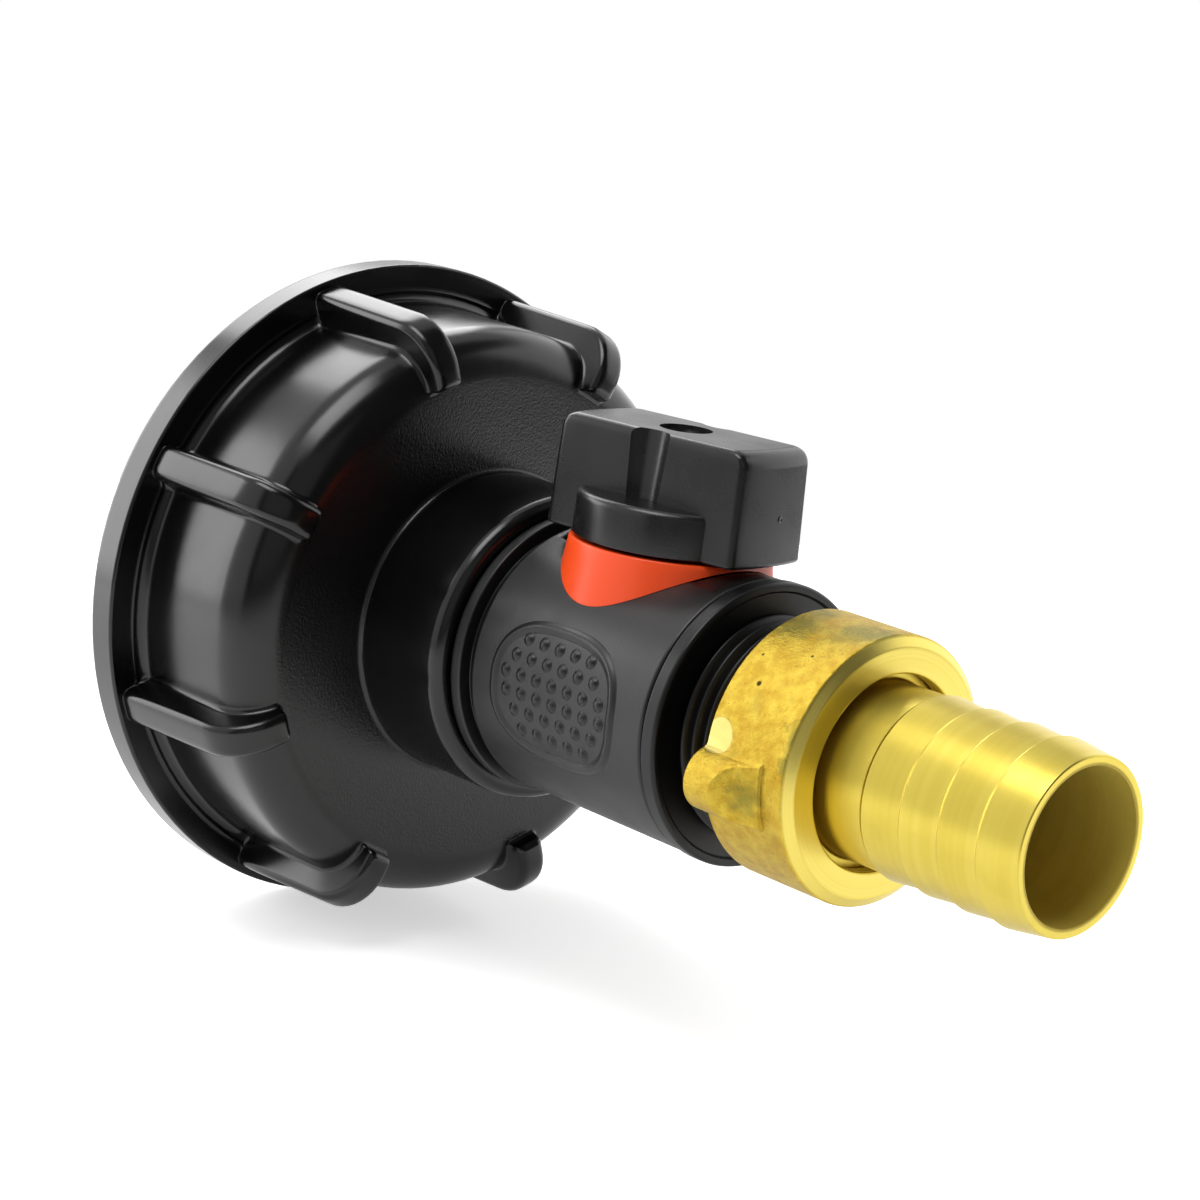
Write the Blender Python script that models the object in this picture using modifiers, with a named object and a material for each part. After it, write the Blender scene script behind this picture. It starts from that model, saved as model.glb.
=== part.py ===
# Tank outlet valve: a ribbed screw cap for a coarse tank thread, a small plastic ball
# valve with a T handle on it, and a brass hose tail held by a cast union nut.
# The pipe axis is world X, from the cap's open rim at x = 0 to the hose end.
# The stem axis is vertical. Every size is in metres, written as millimetres times mm.

import math

import bmesh
import bpy
from mathutils import Matrix

mm = 0.001
gap = 0.3 * mm
weld_distance = 0.001 * mm
round_steps = 40
large_round_steps = 48
seal_steps = 24

# Cap
wall_radius = 36.7 * mm
wall_foot_draft = 0.3 * mm
wall_foot_radius = wall_radius + wall_foot_draft
wall_thickness = 6.5 * mm
wall_cove = 1.4 * mm
flange_width = 5.2 * mm
flange_radius = wall_radius + flange_width
flange_thickness = 4.6 * mm
flange_edge = 0.7 * mm
tank_thread_radius = wall_radius - wall_thickness
tank_socket_depth = 20.8 * mm
crown_thickness = 4.4 * mm
cap_height = tank_socket_depth + crown_thickness
shoulder_round = 5.6 * mm
socket_chamfer = 1.2 * mm

# Grip ribs on the cap
rib_count = 8
rib_phase = math.radians(20.2)
rib_width = 4.4 * mm
rib_foot_height = 4.3 * mm
rib_foot_radius = wall_radius + rib_foot_height
rib_bend_height = 3.6 * mm
rib_bend_radius = wall_radius + rib_bend_height
rib_bend_round = 6.5 * mm
rib_front_height = 2.1 * mm
rib_front = cap_height + rib_front_height
rib_overlap = 4.9 * mm
rib_end_radius = wall_radius - rib_overlap
rib_edge_round = 1.1 * mm
rib_root = 2.2 * mm

# Pipe size: the thread sets the bore, the ball and the barrel
pipe_thread_radius = 13.2 * mm
pipe_wall = 4.6 * mm
bore_radius = pipe_thread_radius - pipe_wall
port_step = 0.6 * mm
port_radius = bore_radius - port_step
ball_land = 4.0 * mm
ball_radius = port_radius + ball_land
chamber_clearance = 2.3 * mm
chamber_radius = ball_radius + chamber_clearance
barrel_wall = 2.3 * mm
barrel_radius = chamber_radius + barrel_wall

# Inlet of the valve body, screwed into the cap's hub
neck_step = 1.4 * mm
neck_radius = bore_radius + neck_step
thread_clearance = 0.3 * mm
hub_socket_radius = pipe_thread_radius + thread_clearance
hub_floor_thickness = 3.8 * mm
hub_socket_floor = tank_socket_depth + hub_floor_thickness
hub_wall = 5.7 * mm
hub_radius = hub_socket_radius + hub_wall
hub_length = 14.7 * mm
hub_front = cap_height + hub_length
hub_round = 1.5 * mm
hub_fillet = 0.6 * mm
inlet_seal_thickness = 1.2 * mm
spigot_end = hub_socket_floor + inlet_seal_thickness + 2 * gap
spigot_lead = 1.0 * mm

# Barrel of the valve body
barrel_edge = 0.5 * mm
body_collar_height = 0.7 * mm
body_collar_radius = barrel_radius + body_collar_height
body_collar_length = 2.0 * mm
body_collar_end = hub_front + body_collar_length
body_groove_depth = 1.0 * mm
body_groove_radius = barrel_radius - body_groove_depth
body_groove_width = 1.3 * mm
barrel_start = body_collar_end + body_groove_width

# Seats either side of the ball, which set the chamber's length and the stem's place
seat_clearance = 5.3 * mm
seat_reach = ball_radius - seat_clearance
seat_thickness = 2.8 * mm
seat_back = seat_reach + seat_thickness
seat_inner_radius = port_radius + gap
seat_lip_radius = math.sqrt((ball_radius + gap) ** 2 - seat_reach**2) + gap
seat_side_clearance = 0.4 * mm
seat_outer_radius = chamber_radius - seat_side_clearance
seat_ring_wire = 0.7 * mm
seat_ring_inset = 2.8 * mm
seat_ring_radius = chamber_radius - seat_ring_inset
seat_ring_space = 2 * seat_ring_wire + 2 * gap
chamber_floor_wall = 2.3 * mm
chamber_floor = barrel_start + chamber_floor_wall
stem_x = chamber_floor + seat_ring_space + seat_back
end_sleeve_start = stem_x + seat_back + seat_ring_space
end_sleeve_depth = 4.7 * mm
barrel_end = end_sleeve_start + end_sleeve_depth

# Grip pads: a raised rim on each side of the barrel
pad_offset = 0.6 * mm
pad_x = stem_x + pad_offset
pad_half_length = 10.7 * mm
pad_half_height = 8.2 * mm
pad_drop = 0.4 * mm
pad_squareness = 2.65
pad_steps = 28
pad_rim_width = 1.1 * mm
pad_rim_height = 0.3 * mm

# Stem, its washer and its rings, stacked up from the ball
ball_slot_width = 4.0 * mm
ball_slot_depth = 2.7 * mm
ball_slot_floor = ball_radius - ball_slot_depth
stem_radius = 4.0 * mm
stem_bore_radius = stem_radius + gap
stem_flange_width = 1.6 * mm
stem_flange_radius = stem_radius + stem_flange_width
stem_flange_base = ball_radius + gap
stem_flange_thickness = 1.1 * mm
stem_flange_top = stem_flange_base + stem_flange_thickness
washer_thickness = 0.8 * mm
washer_bore_clearance = 0.1 * mm
washer_side_clearance = 0.4 * mm
washer_pocket_radius = stem_flange_radius + washer_side_clearance
washer_pocket_top = stem_flange_top + washer_thickness + 2 * gap
stem_ring_lift = 1.4 * mm
stem_ring_spacing = 2.6 * mm
stem_ring_first = washer_pocket_top + stem_ring_lift
stem_ring_heights = (stem_ring_first, stem_ring_first + stem_ring_spacing)
stem_ring_wire = 0.55 * mm
groove_slack = 0.15 * mm
stem_groove_depth = 1.15 * mm
stem_groove_radius = stem_radius - stem_groove_depth
tang_length = 9.0 * mm
tang_width = ball_slot_width - 2 * gap
tang_base = ball_slot_floor + gap

# Stem collar that saddles the barrel, and the tower with its stop tab inside it
tower_wall = 2.7 * mm
tower_radius = stem_bore_radius + tower_wall
stop_height = 0.9 * mm
stop_radius = tower_radius + stop_height
stop_width = math.radians(20.0)
stop_centre = math.radians(-90.0)
collar_hole_radius = stop_radius + gap
collar_inset = 3.65 * mm
collar_foot_radius = barrel_radius - collar_inset
collar_flare = 0.9 * mm
collar_top_radius = collar_foot_radius - collar_flare
collar_floor_thickness = 0.5 * mm
collar_pocket_floor = washer_pocket_top + collar_floor_thickness
collar_drop = 7.6 * mm
collar_foot = barrel_radius - collar_drop
collar_rise = 0.5 * mm
collar_top = barrel_radius + collar_rise
tower_height = 3.9 * mm
tower_top = collar_top + tower_height
stem_square = 6.7 * mm
stem_square_base = tower_top + gap
stem_square_height = 4.0 * mm
stem_top = stem_square_base + stem_square_height

# Handle, at rest a little short of fully open
handle_rest_turn = math.radians(9.5)
handle_travel = math.radians(90.0)
handle_clearance = 0.35 * mm
handle_base = collar_top + handle_clearance
handle_height = 13.45 * mm
handle_top = handle_base + handle_height
skirt_overhang = 0.25 * mm
skirt_radius = collar_top_radius - skirt_overhang
handle_overhang = 2.55 * mm
handle_half_length = skirt_radius + handle_overhang
handle_half_width = 7.1 * mm
handle_draft = 0.35 * mm
handle_end_bulge = 0.7 * mm
handle_edge = 1.1 * mm
skirt_height = 5.35 * mm
skirt_top = handle_base + skirt_height
skirt_edge = 0.9 * mm
skirt_lift = 0.05 * mm
handle_cavity_radius = tower_radius + gap
handle_cavity_clearance = 0.4 * mm
handle_cavity_top = tower_top + handle_cavity_clearance
handle_socket_top = stem_top + gap
handle_web = 1.2 * mm
handle_web_top = handle_socket_top + handle_web
flute_top_radius = 3.4 * mm
flute_foot_radius = 2.8 * mm
flute_depth = 1.95 * mm

# Screw that holds the handle
screw_shank_radius = 1.6 * mm
screw_hole_radius = screw_shank_radius + gap
screw_depth = 1.1 * mm
screw_tip = tower_top - screw_depth
screw_head_width = 1.0 * mm
screw_head_radius = screw_shank_radius + screw_head_width
screw_head_clearance = 0.55 * mm
handle_hole_radius = screw_head_radius + screw_head_clearance
screw_head_height = 1.9 * mm
screw_crown_height = 0.8 * mm
spring_washer_thickness = 0.7 * mm

# Outlet end piece
end_flange_start = barrel_end + gap
end_flange_length = 2.1 * mm
end_flange_front = end_flange_start + end_flange_length
end_flange_proud = 0.2 * mm
end_flange_radius = barrel_radius + end_flange_proud
end_sleeve_radius = chamber_radius - gap
end_ring_wire = 0.6 * mm
end_ring_x = (end_sleeve_start + end_flange_start) / 2
thread_depth = 0.9 * mm
thread_relief_radius = pipe_thread_radius - thread_depth
thread_relief_length = 0.6 * mm
thread_relief_end = end_flange_front + thread_relief_length
thread_length = 12.7 * mm
outlet_end = thread_relief_end + thread_length

# Hose gasket, brass nut and hose tail
hose_gasket_thickness = 1.7 * mm
hose_gasket_inner = bore_radius + gap
hose_gasket_outer = pipe_thread_radius - 2 * gap
tail_flange_start = outlet_end + hose_gasket_thickness + 2 * gap
tail_flange_radius = pipe_thread_radius - gap
tail_flange_thickness = 2.0 * mm
tail_bore_step = 0.17 * mm
tail_bore_radius = bore_radius + tail_bore_step
tail_wall = 1.48 * mm
tail_tube_radius = tail_bore_radius + tail_wall
barb_height = 0.35 * mm
barb_radius = tail_tube_radius + barb_height
barb_pitch = 5.4 * mm
barb_count = 4
barb_step = 0.45 * mm
barb_last_length = 5.1 * mm
tail_tip_wall = 1.13 * mm
tail_tip_radius = tail_bore_radius + tail_tip_wall
thread_engagement = 6.5 * mm
nut_back = outlet_end - thread_engagement
nut_shoulder = tail_flange_start + tail_flange_thickness + gap
nut_lip = 1.8 * mm
nut_front = nut_shoulder + nut_lip
nut_wall = 2.05 * mm
nut_bore_radius = pipe_thread_radius + thread_clearance
nut_radius = nut_bore_radius + nut_wall
nut_hole_clearance = 1.05 * mm
nut_hole_radius = tail_tube_radius + nut_hole_clearance
nut_chamfer_length = 0.9 * mm
nut_chamfer_depth = 1.2 * mm
lug_turn = math.radians(10.0)
lug_radius = 3.6 * mm
lug_sink = 0.45 * mm
lug_centre = nut_radius - lug_sink
lug_setback = 4.0 * mm
lug_end = nut_front - lug_setback
lug_step_length = 2.9 * mm
lug_step_height = 1.5 * mm
lug_facet_length = 2.1 * mm
lug_toe_height = 0.3 * mm
tail_bare_length = 6.3 * mm
barb_first = nut_front + tail_bare_length
tail_tip = barb_first + (barb_count - 1) * barb_pitch + barb_last_length

# Tank gasket
tank_gasket_thickness = 2.6 * mm
tank_gasket_width = 12.9 * mm
tank_gasket_outer = tank_thread_radius - gap
tank_gasket_inner = tank_gasket_outer - tank_gasket_width

black_plastic = ("Black polypropylene", (0.012, 0.012, 0.013, 1.0), 0.42, 0.0)
orange_plastic = ("Orange polypropylene", (0.83, 0.16, 0.012, 1.0), 0.4, 0.0)
brass_cast = ("Cast brass", (0.58, 0.41, 0.09, 1.0), 0.45, 1.0)
brass_turned = ("Turned brass", (0.66, 0.5, 0.14, 1.0), 0.28, 1.0)
seal_rubber = ("Seal rubber", (0.015, 0.015, 0.016, 1.0), 0.7, 0.0)
seat_plastic = ("White seat plastic", (0.75, 0.74, 0.7, 1.0), 0.35, 0.0)
steel = ("Stainless steel", (0.6, 0.6, 0.58, 1.0), 0.3, 1.0)


for old in list(bpy.data.objects):
    bpy.data.objects.remove(old, do_unlink=True)

parts = bpy.data.collections.new("Tank outlet valve")
cutters = bpy.data.collections.new("Cutters")
bpy.context.scene.collection.children.link(parts)
bpy.context.scene.collection.children.link(cutters)


# Helpers
def material(finish):
    name, colour, roughness, metallic = finish
    found = bpy.data.materials.get(name)
    if found:
        return found
    made = bpy.data.materials.new(name)
    made.use_nodes = True
    made.diffuse_color = colour
    shader = made.node_tree.nodes["Principled BSDF"]
    shader.inputs["Base Color"].default_value = colour
    shader.inputs["Roughness"].default_value = roughness
    shader.inputs["Metallic"].default_value = metallic
    return made


def place(item, finish, parent=None):
    """Puts an object in the parts with its material, or in the cutters when it has none."""
    for holder in list(item.users_collection):
        holder.objects.unlink(item)
    if finish:
        parts.objects.link(item)
        item.data.materials.clear()
        item.data.materials.append(material(finish))
    else:
        cutters.objects.link(item)
        item.hide_render = True
        item.display_type = "WIRE"
    item.parent = parent
    return item


def axis_turn(axis):
    """Turns local Z onto the pipe axis, or leaves it upright."""
    return (0.0, math.pi / 2, 0.0) if axis == "X" else (0.0, 0.0, 0.0)


def turned(name, profile, finish=None, axis="X", parent=None, steps=round_steps):
    """A turned piece. The profile is (along the axis, radius) points round the section."""
    area = sum(
        b[1] * a[0] - a[1] * b[0] for a, b in zip(profile, profile[1:] + profile[:1])
    )
    points = profile if area > 0 else profile[::-1]
    mesh = bpy.data.meshes.new(name)
    edges = [(i, i + 1) for i in range(len(points) - 1)]
    if points[0][1] > 0 or points[-1][1] > 0:
        edges.append((len(points) - 1, 0))
    mesh.from_pydata([(radius, 0.0, along) for along, radius in points], edges, [])
    item = bpy.data.objects.new(name, mesh)
    screw = item.modifiers.new("Turn", "SCREW")
    screw.steps = steps
    screw.render_steps = steps
    screw.use_merge_vertices = True
    screw.merge_threshold = weld_distance
    item.rotation_euler = axis_turn(axis)
    return place(item, finish, parent)


def arc(centre_along, centre_radius, radius, start, end, count=5):
    """Points on a rounded corner of a profile, angles in degrees from the axis direction."""
    turns = [math.radians(start + (end - start) * i / count) for i in range(count + 1)]
    return [
        (centre_along + radius * math.cos(a), centre_radius + radius * math.sin(a))
        for a in turns
    ]


def rod(name, radius, start, end, axis="X", across=(0.0, 0.0), sides=48, foot=None):
    """A cylinder or cone cutter from start to end along an axis."""
    middle = (start + end) / 2
    at = (middle, *across) if axis == "X" else (*across, middle)
    bpy.ops.mesh.primitive_cone_add(
        vertices=sides, radius1=foot or radius, radius2=radius, depth=end - start, location=at
    )
    item = bpy.context.object
    item.name = name
    item.rotation_euler = axis_turn(axis)
    return place(item, None)


def block(name, low, high):
    """A box cutter between two corners."""
    middle = [(a + b) / 2 for a, b in zip(low, high)]
    bpy.ops.mesh.primitive_cube_add(size=1.0, location=middle)
    item = bpy.context.object
    item.name = name
    item.data.transform(Matrix.Diagonal([b - a for a, b in zip(low, high)] + [1.0]))
    return place(item, None)


def combine(item, operation, tool):
    step = item.modifiers.new(tool.name, "BOOLEAN")
    step.operation = operation
    step.object = tool
    step.solver = "EXACT"


def frozen(item, name):
    """A copy of an object's evaluated mesh, welded, and the object removed."""
    seen = item.evaluated_get(bpy.context.evaluated_depsgraph_get())
    mesh = bpy.data.meshes.new_from_object(seen)
    shape = bmesh.new()
    shape.from_mesh(mesh)
    bmesh.ops.remove_doubles(shape, verts=shape.verts, dist=weld_distance)
    shape.to_mesh(mesh)
    shape.free()
    where = item.matrix_world.copy()
    bpy.data.objects.remove(item, do_unlink=True)
    made = bpy.data.objects.new(name, mesh)
    made.matrix_world = where
    return made


def plate(name, outline, half_thickness):
    """A flat outline in its own XY plane, given a thickness."""
    flat = bpy.data.curves.new(name, "CURVE")
    flat.dimensions = "2D"
    flat.fill_mode = "BOTH"
    flat.extrude = half_thickness
    line = flat.splines.new("POLY")
    line.points.add(len(outline) - 1)
    for point, (x, y) in zip(line.points, outline):
        point.co = (x, y, 0.0, 1.0)
    line.use_cyclic_u = True
    item = bpy.data.objects.new(name, flat)
    bpy.context.scene.collection.objects.link(item)
    bpy.context.view_layer.update()
    return frozen(item, name)


def pie(name, radius, centre, width, low, high):
    """An upright wedge round the stem axis."""
    rim = [centre + width * (i / 6 - 0.5) for i in range(7)]
    outline = [(0.0, 0.0)] + [(radius * math.cos(a), radius * math.sin(a)) for a in rim]
    item = plate(name, outline, (high - low) / 2)
    item.data.transform(Matrix.Translation((0.0, 0.0, (low + high) / 2)))
    return place(item, None)


def bevelled(item, width, segments=2, angle=30.0):
    edge = item.modifiers.new("Rounded edges", "BEVEL")
    edge.width = width
    edge.segments = segments
    edge.limit_method = "ANGLE"
    edge.angle_limit = math.radians(angle)
    return item


def pivot(name, at, turn=(0.0, 0.0, 0.0)):
    item = bpy.data.objects.new(name, None)
    item.empty_display_size = 5 * mm
    item.location = at
    item.rotation_euler = turn
    parts.objects.link(item)
    return item


def ring(name, start, thickness, inner, outer, finish, axis="X", parent=None, steps=seal_steps):
    end = start + thickness
    section = [(end, inner), (end, outer), (start, outer), (start, inner)]
    return turned(name, section, finish, axis, parent, steps)


def o_ring(name, along, radius, wire, finish, axis="X", parent=None):
    section = arc(along, radius, wire, 0, 300, 5)
    return turned(name, section, finish, axis, parent, seal_steps)


# The cap: flange, threaded wall, rounded shoulder, ribs and the hub that takes the valve
def rib_outline():
    bend_x = rib_front - rib_bend_round
    bury_x = cap_height - rib_root
    bury_radius = wall_radius - rib_root
    corner = arc(bend_x, rib_bend_radius - rib_bend_round, rib_bend_round, 90, 0, 4)
    return [
        (flange_thickness - rib_root, rib_foot_radius),
        *corner,
        (rib_front, rib_end_radius),
        (bury_x, rib_end_radius),
        (bury_x, bury_radius - rib_root),
        (bury_x - rib_root, bury_radius),
        (flange_thickness - rib_root, bury_radius),
    ]


def cap_ribs():
    rib = plate("rib", rib_outline(), rib_width / 2)
    bpy.context.scene.collection.objects.link(rib)
    bevelled(rib, rib_edge_round)
    bpy.context.view_layer.update()
    rib = frozen(rib, "rib")
    ribs = bmesh.new()
    for number in range(rib_count):
        copy = rib.data.copy()
        turn = rib_phase + number * math.tau / rib_count
        copy.transform(Matrix.Rotation(turn, 4, "X"))
        ribs.from_mesh(copy)
        bpy.data.meshes.remove(copy)
    mesh = bpy.data.meshes.new("cap_ribs")
    ribs.to_mesh(mesh)
    ribs.free()
    bpy.data.objects.remove(rib, do_unlink=True)
    return place(bpy.data.objects.new("cap_ribs", mesh), None)


def cap():
    shoulder_x = cap_height - shoulder_round
    flange_front = flange_thickness - flange_edge
    section = [
        (hub_front, hub_socket_radius),
        *arc(hub_front - hub_round, hub_radius - hub_round, hub_round, 0, 90, 3),
        *arc(cap_height + hub_fillet, hub_radius + hub_fillet, hub_fillet, 270, 180, 2),
        *arc(shoulder_x, wall_radius - shoulder_round, shoulder_round, 0, 90, 5),
        *arc(flange_thickness + wall_cove, wall_foot_radius + wall_cove, wall_cove, 270, 180, 2),
        *arc(flange_front, flange_radius - flange_edge, flange_edge, 0, 90, 2),
        *arc(flange_edge, flange_radius - flange_edge, flange_edge, 90, 180, 2),
        (0.0, tank_thread_radius + socket_chamfer),
        (socket_chamfer, tank_thread_radius),
        (tank_socket_depth, tank_thread_radius),
        (tank_socket_depth, neck_radius),
        (hub_socket_floor, neck_radius),
        (hub_socket_floor, hub_socket_radius),
    ]
    body = turned("cap", section, black_plastic, steps=large_round_steps)
    combine(body, "UNION", cap_ribs())


# The valve body: threaded inlet, barrel with the ball chamber, grip pads and stem tower
def pad_outline(inset):
    """The grip pad's outline seen from the side, a rounded oblong drawn in by inset."""
    outline = []
    for number in range(pad_steps):
        turn = math.tau * number / pad_steps
        across = math.copysign(abs(math.cos(turn)) ** (2 / pad_squareness), math.cos(turn))
        up = math.copysign(abs(math.sin(turn)) ** (2 / pad_squareness), math.sin(turn))
        outline.append(((pad_half_length - inset) * across, (pad_half_height - inset) * up))
    return outline


def grip_rim(side):
    """A raised rim that follows the barrel round the pad."""
    skin_depth = 2 * pad_rim_height
    reach = barrel_radius + pad_rim_height
    blocks = []
    for name, inset, depth in (
        ("pad_outer", 0.0, barrel_radius / 2),
        ("pad_inner", pad_rim_width, 3 * barrel_radius / 4),
    ):
        item = plate(name, pad_outline(inset), depth / 2)
        item.data.transform(Matrix.Rotation(math.pi / 2, 4, "X"))
        away = side * (reach + gap - depth / 2 + inset)
        item.data.transform(Matrix.Translation((pad_x, away, -pad_drop)))
        blocks.append(place(item, None))
    outer, inner = blocks
    start = pad_x - pad_half_length - gap
    end = pad_x + pad_half_length + gap
    corners = [(end, -skin_depth), (end, 0.0), (start, 0.0), (start, -skin_depth)]
    skin = turned("pad_skin", [(along, reach + lift) for along, lift in corners])
    combine(outer, "INTERSECT", skin)
    combine(outer, "DIFFERENCE", inner)
    return outer


def valve_body():
    section = [
        (barrel_end, chamber_radius),
        (barrel_end, barrel_radius - barrel_edge),
        (barrel_end - barrel_edge, barrel_radius),
        (barrel_start + barrel_edge, barrel_radius),
        (barrel_start, barrel_radius - barrel_edge),
        (barrel_start, body_groove_radius),
        (body_collar_end, body_groove_radius),
        (body_collar_end, body_collar_radius),
        (hub_front + gap, body_collar_radius),
        (hub_front + gap, pipe_thread_radius),
        (spigot_end + spigot_lead, pipe_thread_radius),
        (spigot_end, pipe_thread_radius - spigot_lead),
        (spigot_end, bore_radius),
        (chamber_floor, bore_radius),
        (chamber_floor, chamber_radius),
    ]
    body = turned("valve_body", section, black_plastic)
    pocket = collar_foot_radius + gap
    at_stem = (stem_x, 0.0)
    seat = rod("collar_pocket", pocket, collar_pocket_floor, tower_top, "Z", at_stem)
    tower = rod("stem_tower", tower_radius, chamber_radius + gap, tower_top, "Z", at_stem)
    recess = rod("washer_recess", washer_pocket_radius, ball_radius, washer_pocket_top, "Z", at_stem)
    bore = rod("stem_bore", stem_bore_radius, ball_radius, tower_top + gap, "Z", at_stem)
    stop = pie("stop_tab", stop_radius, stop_centre, stop_width, collar_top, tower_top)
    stop.location = (stem_x, 0.0, 0.0)
    combine(body, "DIFFERENCE", seat)
    combine(body, "UNION", tower)
    combine(body, "UNION", stop)
    combine(body, "DIFFERENCE", recess)
    combine(body, "DIFFERENCE", bore)
    for side in (-1.0, 1.0):
        combine(body, "UNION", grip_rim(side))


def stem_collar():
    """A tapered ring whose foot is cut to the barrel, with a tongue down into the barrel's pocket."""
    section = [
        (collar_top, collar_hole_radius),
        (collar_top, collar_top_radius),
        (collar_foot, collar_foot_radius),
        (collar_foot, collar_hole_radius),
    ]
    around = pivot("stem_axis", (stem_x, 0.0, 0.0))
    body = turned("stem_collar", section, orange_plastic, "Z", around)
    saddle = rod("barrel_clearance", barrel_radius + gap, barrel_start, barrel_end, sides=88)
    keep = block(
        "pocket_keep",
        (barrel_start, -barrel_radius, collar_pocket_floor + gap),
        (barrel_end, barrel_radius, tower_top),
    )
    combine(saddle, "DIFFERENCE", keep)
    combine(body, "DIFFERENCE", saddle)


# Seats either side of the ball, each backed by a rubber ring
def seats():
    for name, side in (("inlet", -1.0), ("outlet", 1.0)):
        reach = math.sqrt((ball_radius + gap) ** 2 - seat_inner_radius**2)
        section = [
            (stem_x + side * seat_back, seat_inner_radius),
            (stem_x + side * seat_back, seat_outer_radius),
            (stem_x + side * seat_reach, seat_outer_radius),
            (stem_x + side * seat_reach, seat_lip_radius),
            (stem_x + side * reach, seat_inner_radius),
        ]
        turned("seat_" + name, section, seat_plastic, steps=36)
        ring_x = stem_x + side * (seat_back + gap + seat_ring_wire)
        o_ring("seat_ring_" + name, ring_x, seat_ring_radius, seat_ring_wire, seal_rubber)


# What turns with the handle, built round the ball's centre
def ball(turning):
    bpy.ops.mesh.primitive_uv_sphere_add(segments=24, ring_count=12, radius=ball_radius)
    sphere = bpy.context.object
    sphere.name = "ball"
    place(sphere, steel, turning)
    through = rod("ball_port", port_radius, -2 * ball_radius, 2 * ball_radius)
    slot = block(
        "ball_slot",
        (-ball_radius, -ball_slot_width / 2, ball_slot_floor),
        (ball_radius, ball_slot_width / 2, 2 * ball_radius),
    )
    for cutter in (through, slot):
        cutter.parent = turning
        combine(sphere, "DIFFERENCE", cutter)


def stem(turning):
    rings = []
    for height in stem_ring_heights:
        half = stem_ring_wire + groove_slack
        rings += [
            (height - half, stem_radius),
            (height - half, stem_groove_radius),
            (height + half, stem_groove_radius),
            (height + half, stem_radius),
        ]
    section = [
        (stem_top, 0.0),
        (stem_top, stem_radius),
        *rings[::-1],
        (stem_flange_top, stem_radius),
        (stem_flange_top, stem_flange_radius),
        (stem_flange_base, stem_flange_radius),
        (stem_flange_base, 0.0),
    ]
    shaft = turned("stem", section, steel, "Z", turning, 32)
    tang = block(
        "stem_tang",
        (-tang_length / 2, -tang_width / 2, tang_base),
        (tang_length / 2, tang_width / 2, stem_flange_base + gap),
    )
    flats = block(
        "stem_flats_outside",
        (-2 * stem_radius, -2 * stem_radius, stem_square_base),
        (2 * stem_radius, 2 * stem_radius, stem_top + gap),
    )
    square = block(
        "stem_square",
        (-stem_square / 2, -stem_square / 2, stem_square_base - gap),
        (stem_square / 2, stem_square / 2, stem_top + 2 * gap),
    )
    hole = rod("stem_screw_hole", screw_hole_radius, screw_tip - gap, stem_top + gap, "Z", sides=24)
    combine(flats, "DIFFERENCE", square)
    for tool in (tang, flats, square, hole):
        tool.parent = turning
    combine(shaft, "UNION", tang)
    combine(shaft, "DIFFERENCE", flats)
    combine(shaft, "DIFFERENCE", hole)
    for name, height in zip(("lower", "upper"), stem_ring_heights):
        major = stem_groove_radius + stem_ring_wire + groove_slack
        o_ring("stem_ring_" + name, height, major, stem_ring_wire, seal_rubber, "Z", turning)
    washer_inner = stem_bore_radius + washer_bore_clearance
    ring(
        "thrust_washer",
        stem_flange_top + gap,
        washer_thickness,
        washer_inner,
        stem_flange_radius,
        seat_plastic,
        "Z",
        turning,
    )


def handle_outline():
    """The T bar from above: straight broad sides and slightly bulging ends."""
    half = handle_half_width
    rise = handle_end_bulge
    swing = (half**2 + rise**2) / (2 * rise)
    centre = handle_half_length - swing
    open_angle = math.degrees(math.asin(half / swing))
    right = arc(centre, 0.0, swing, -open_angle, open_angle, 6)
    left = [(-x, -y) for x, y in right]
    return right + left


def handle(turning):
    tall = (handle_top - handle_base) / 2
    bar = plate("handle", handle_outline(), tall)
    for vertex in bar.data.vertices:
        if vertex.co.z > 0:
            vertex.co.x *= 1 - handle_draft / handle_half_length
            vertex.co.y *= 1 - handle_draft / handle_half_width
    bar.data.transform(Matrix.Translation((0.0, 0.0, handle_base + tall)))
    place(bar, black_plastic, turning)
    bevelled(bar, handle_edge, 3)
    lower = handle_base + skirt_lift
    skirt = turned(
        "handle_skirt",
        [
            (skirt_top, 0.0),
            *arc(skirt_top - skirt_edge, skirt_radius - skirt_edge, skirt_edge, 0, 90, 3),
            (lower, skirt_radius),
            (lower, 0.0),
        ],
        axis="Z",
    )
    cavity = rod("handle_cavity", handle_cavity_radius, 0.0, handle_cavity_top, "Z")
    clearance = gap / handle_cavity_radius
    sweep = handle_travel + stop_width + 2 * clearance
    slot_centre = stop_centre - handle_travel / 2
    slot = pie("stop_slot", stop_radius + gap, slot_centre, sweep, 0.0, handle_cavity_top)
    side = stem_square / 2 + gap
    socket = block("handle_socket", (-side, -side, tower_top), (side, side, handle_socket_top))
    hole = rod("handle_screw_hole", screw_hole_radius, tower_top, handle_top, "Z", sides=24)
    counterbore = rod(
        "handle_counterbore", handle_hole_radius, handle_web_top, 2 * handle_top, "Z", sides=40
    )
    tools = [cavity, slot, socket, hole, counterbore]
    for side in (-1.0, 1.0):
        reach = handle_half_width + flute_top_radius - flute_depth
        tools.append(
            rod(
                "handle_flute",
                flute_top_radius,
                skirt_top,
                handle_top + gap,
                "Z",
                (0.0, side * reach),
                32,
                flute_foot_radius,
            )
        )
    skirt.parent = turning
    for tool in tools:
        tool.parent = turning
    for flute in tools[5:]:
        combine(bar, "DIFFERENCE", flute)
    combine(bar, "UNION", skirt)
    for tool in tools[:5]:
        combine(bar, "DIFFERENCE", tool)


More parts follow.
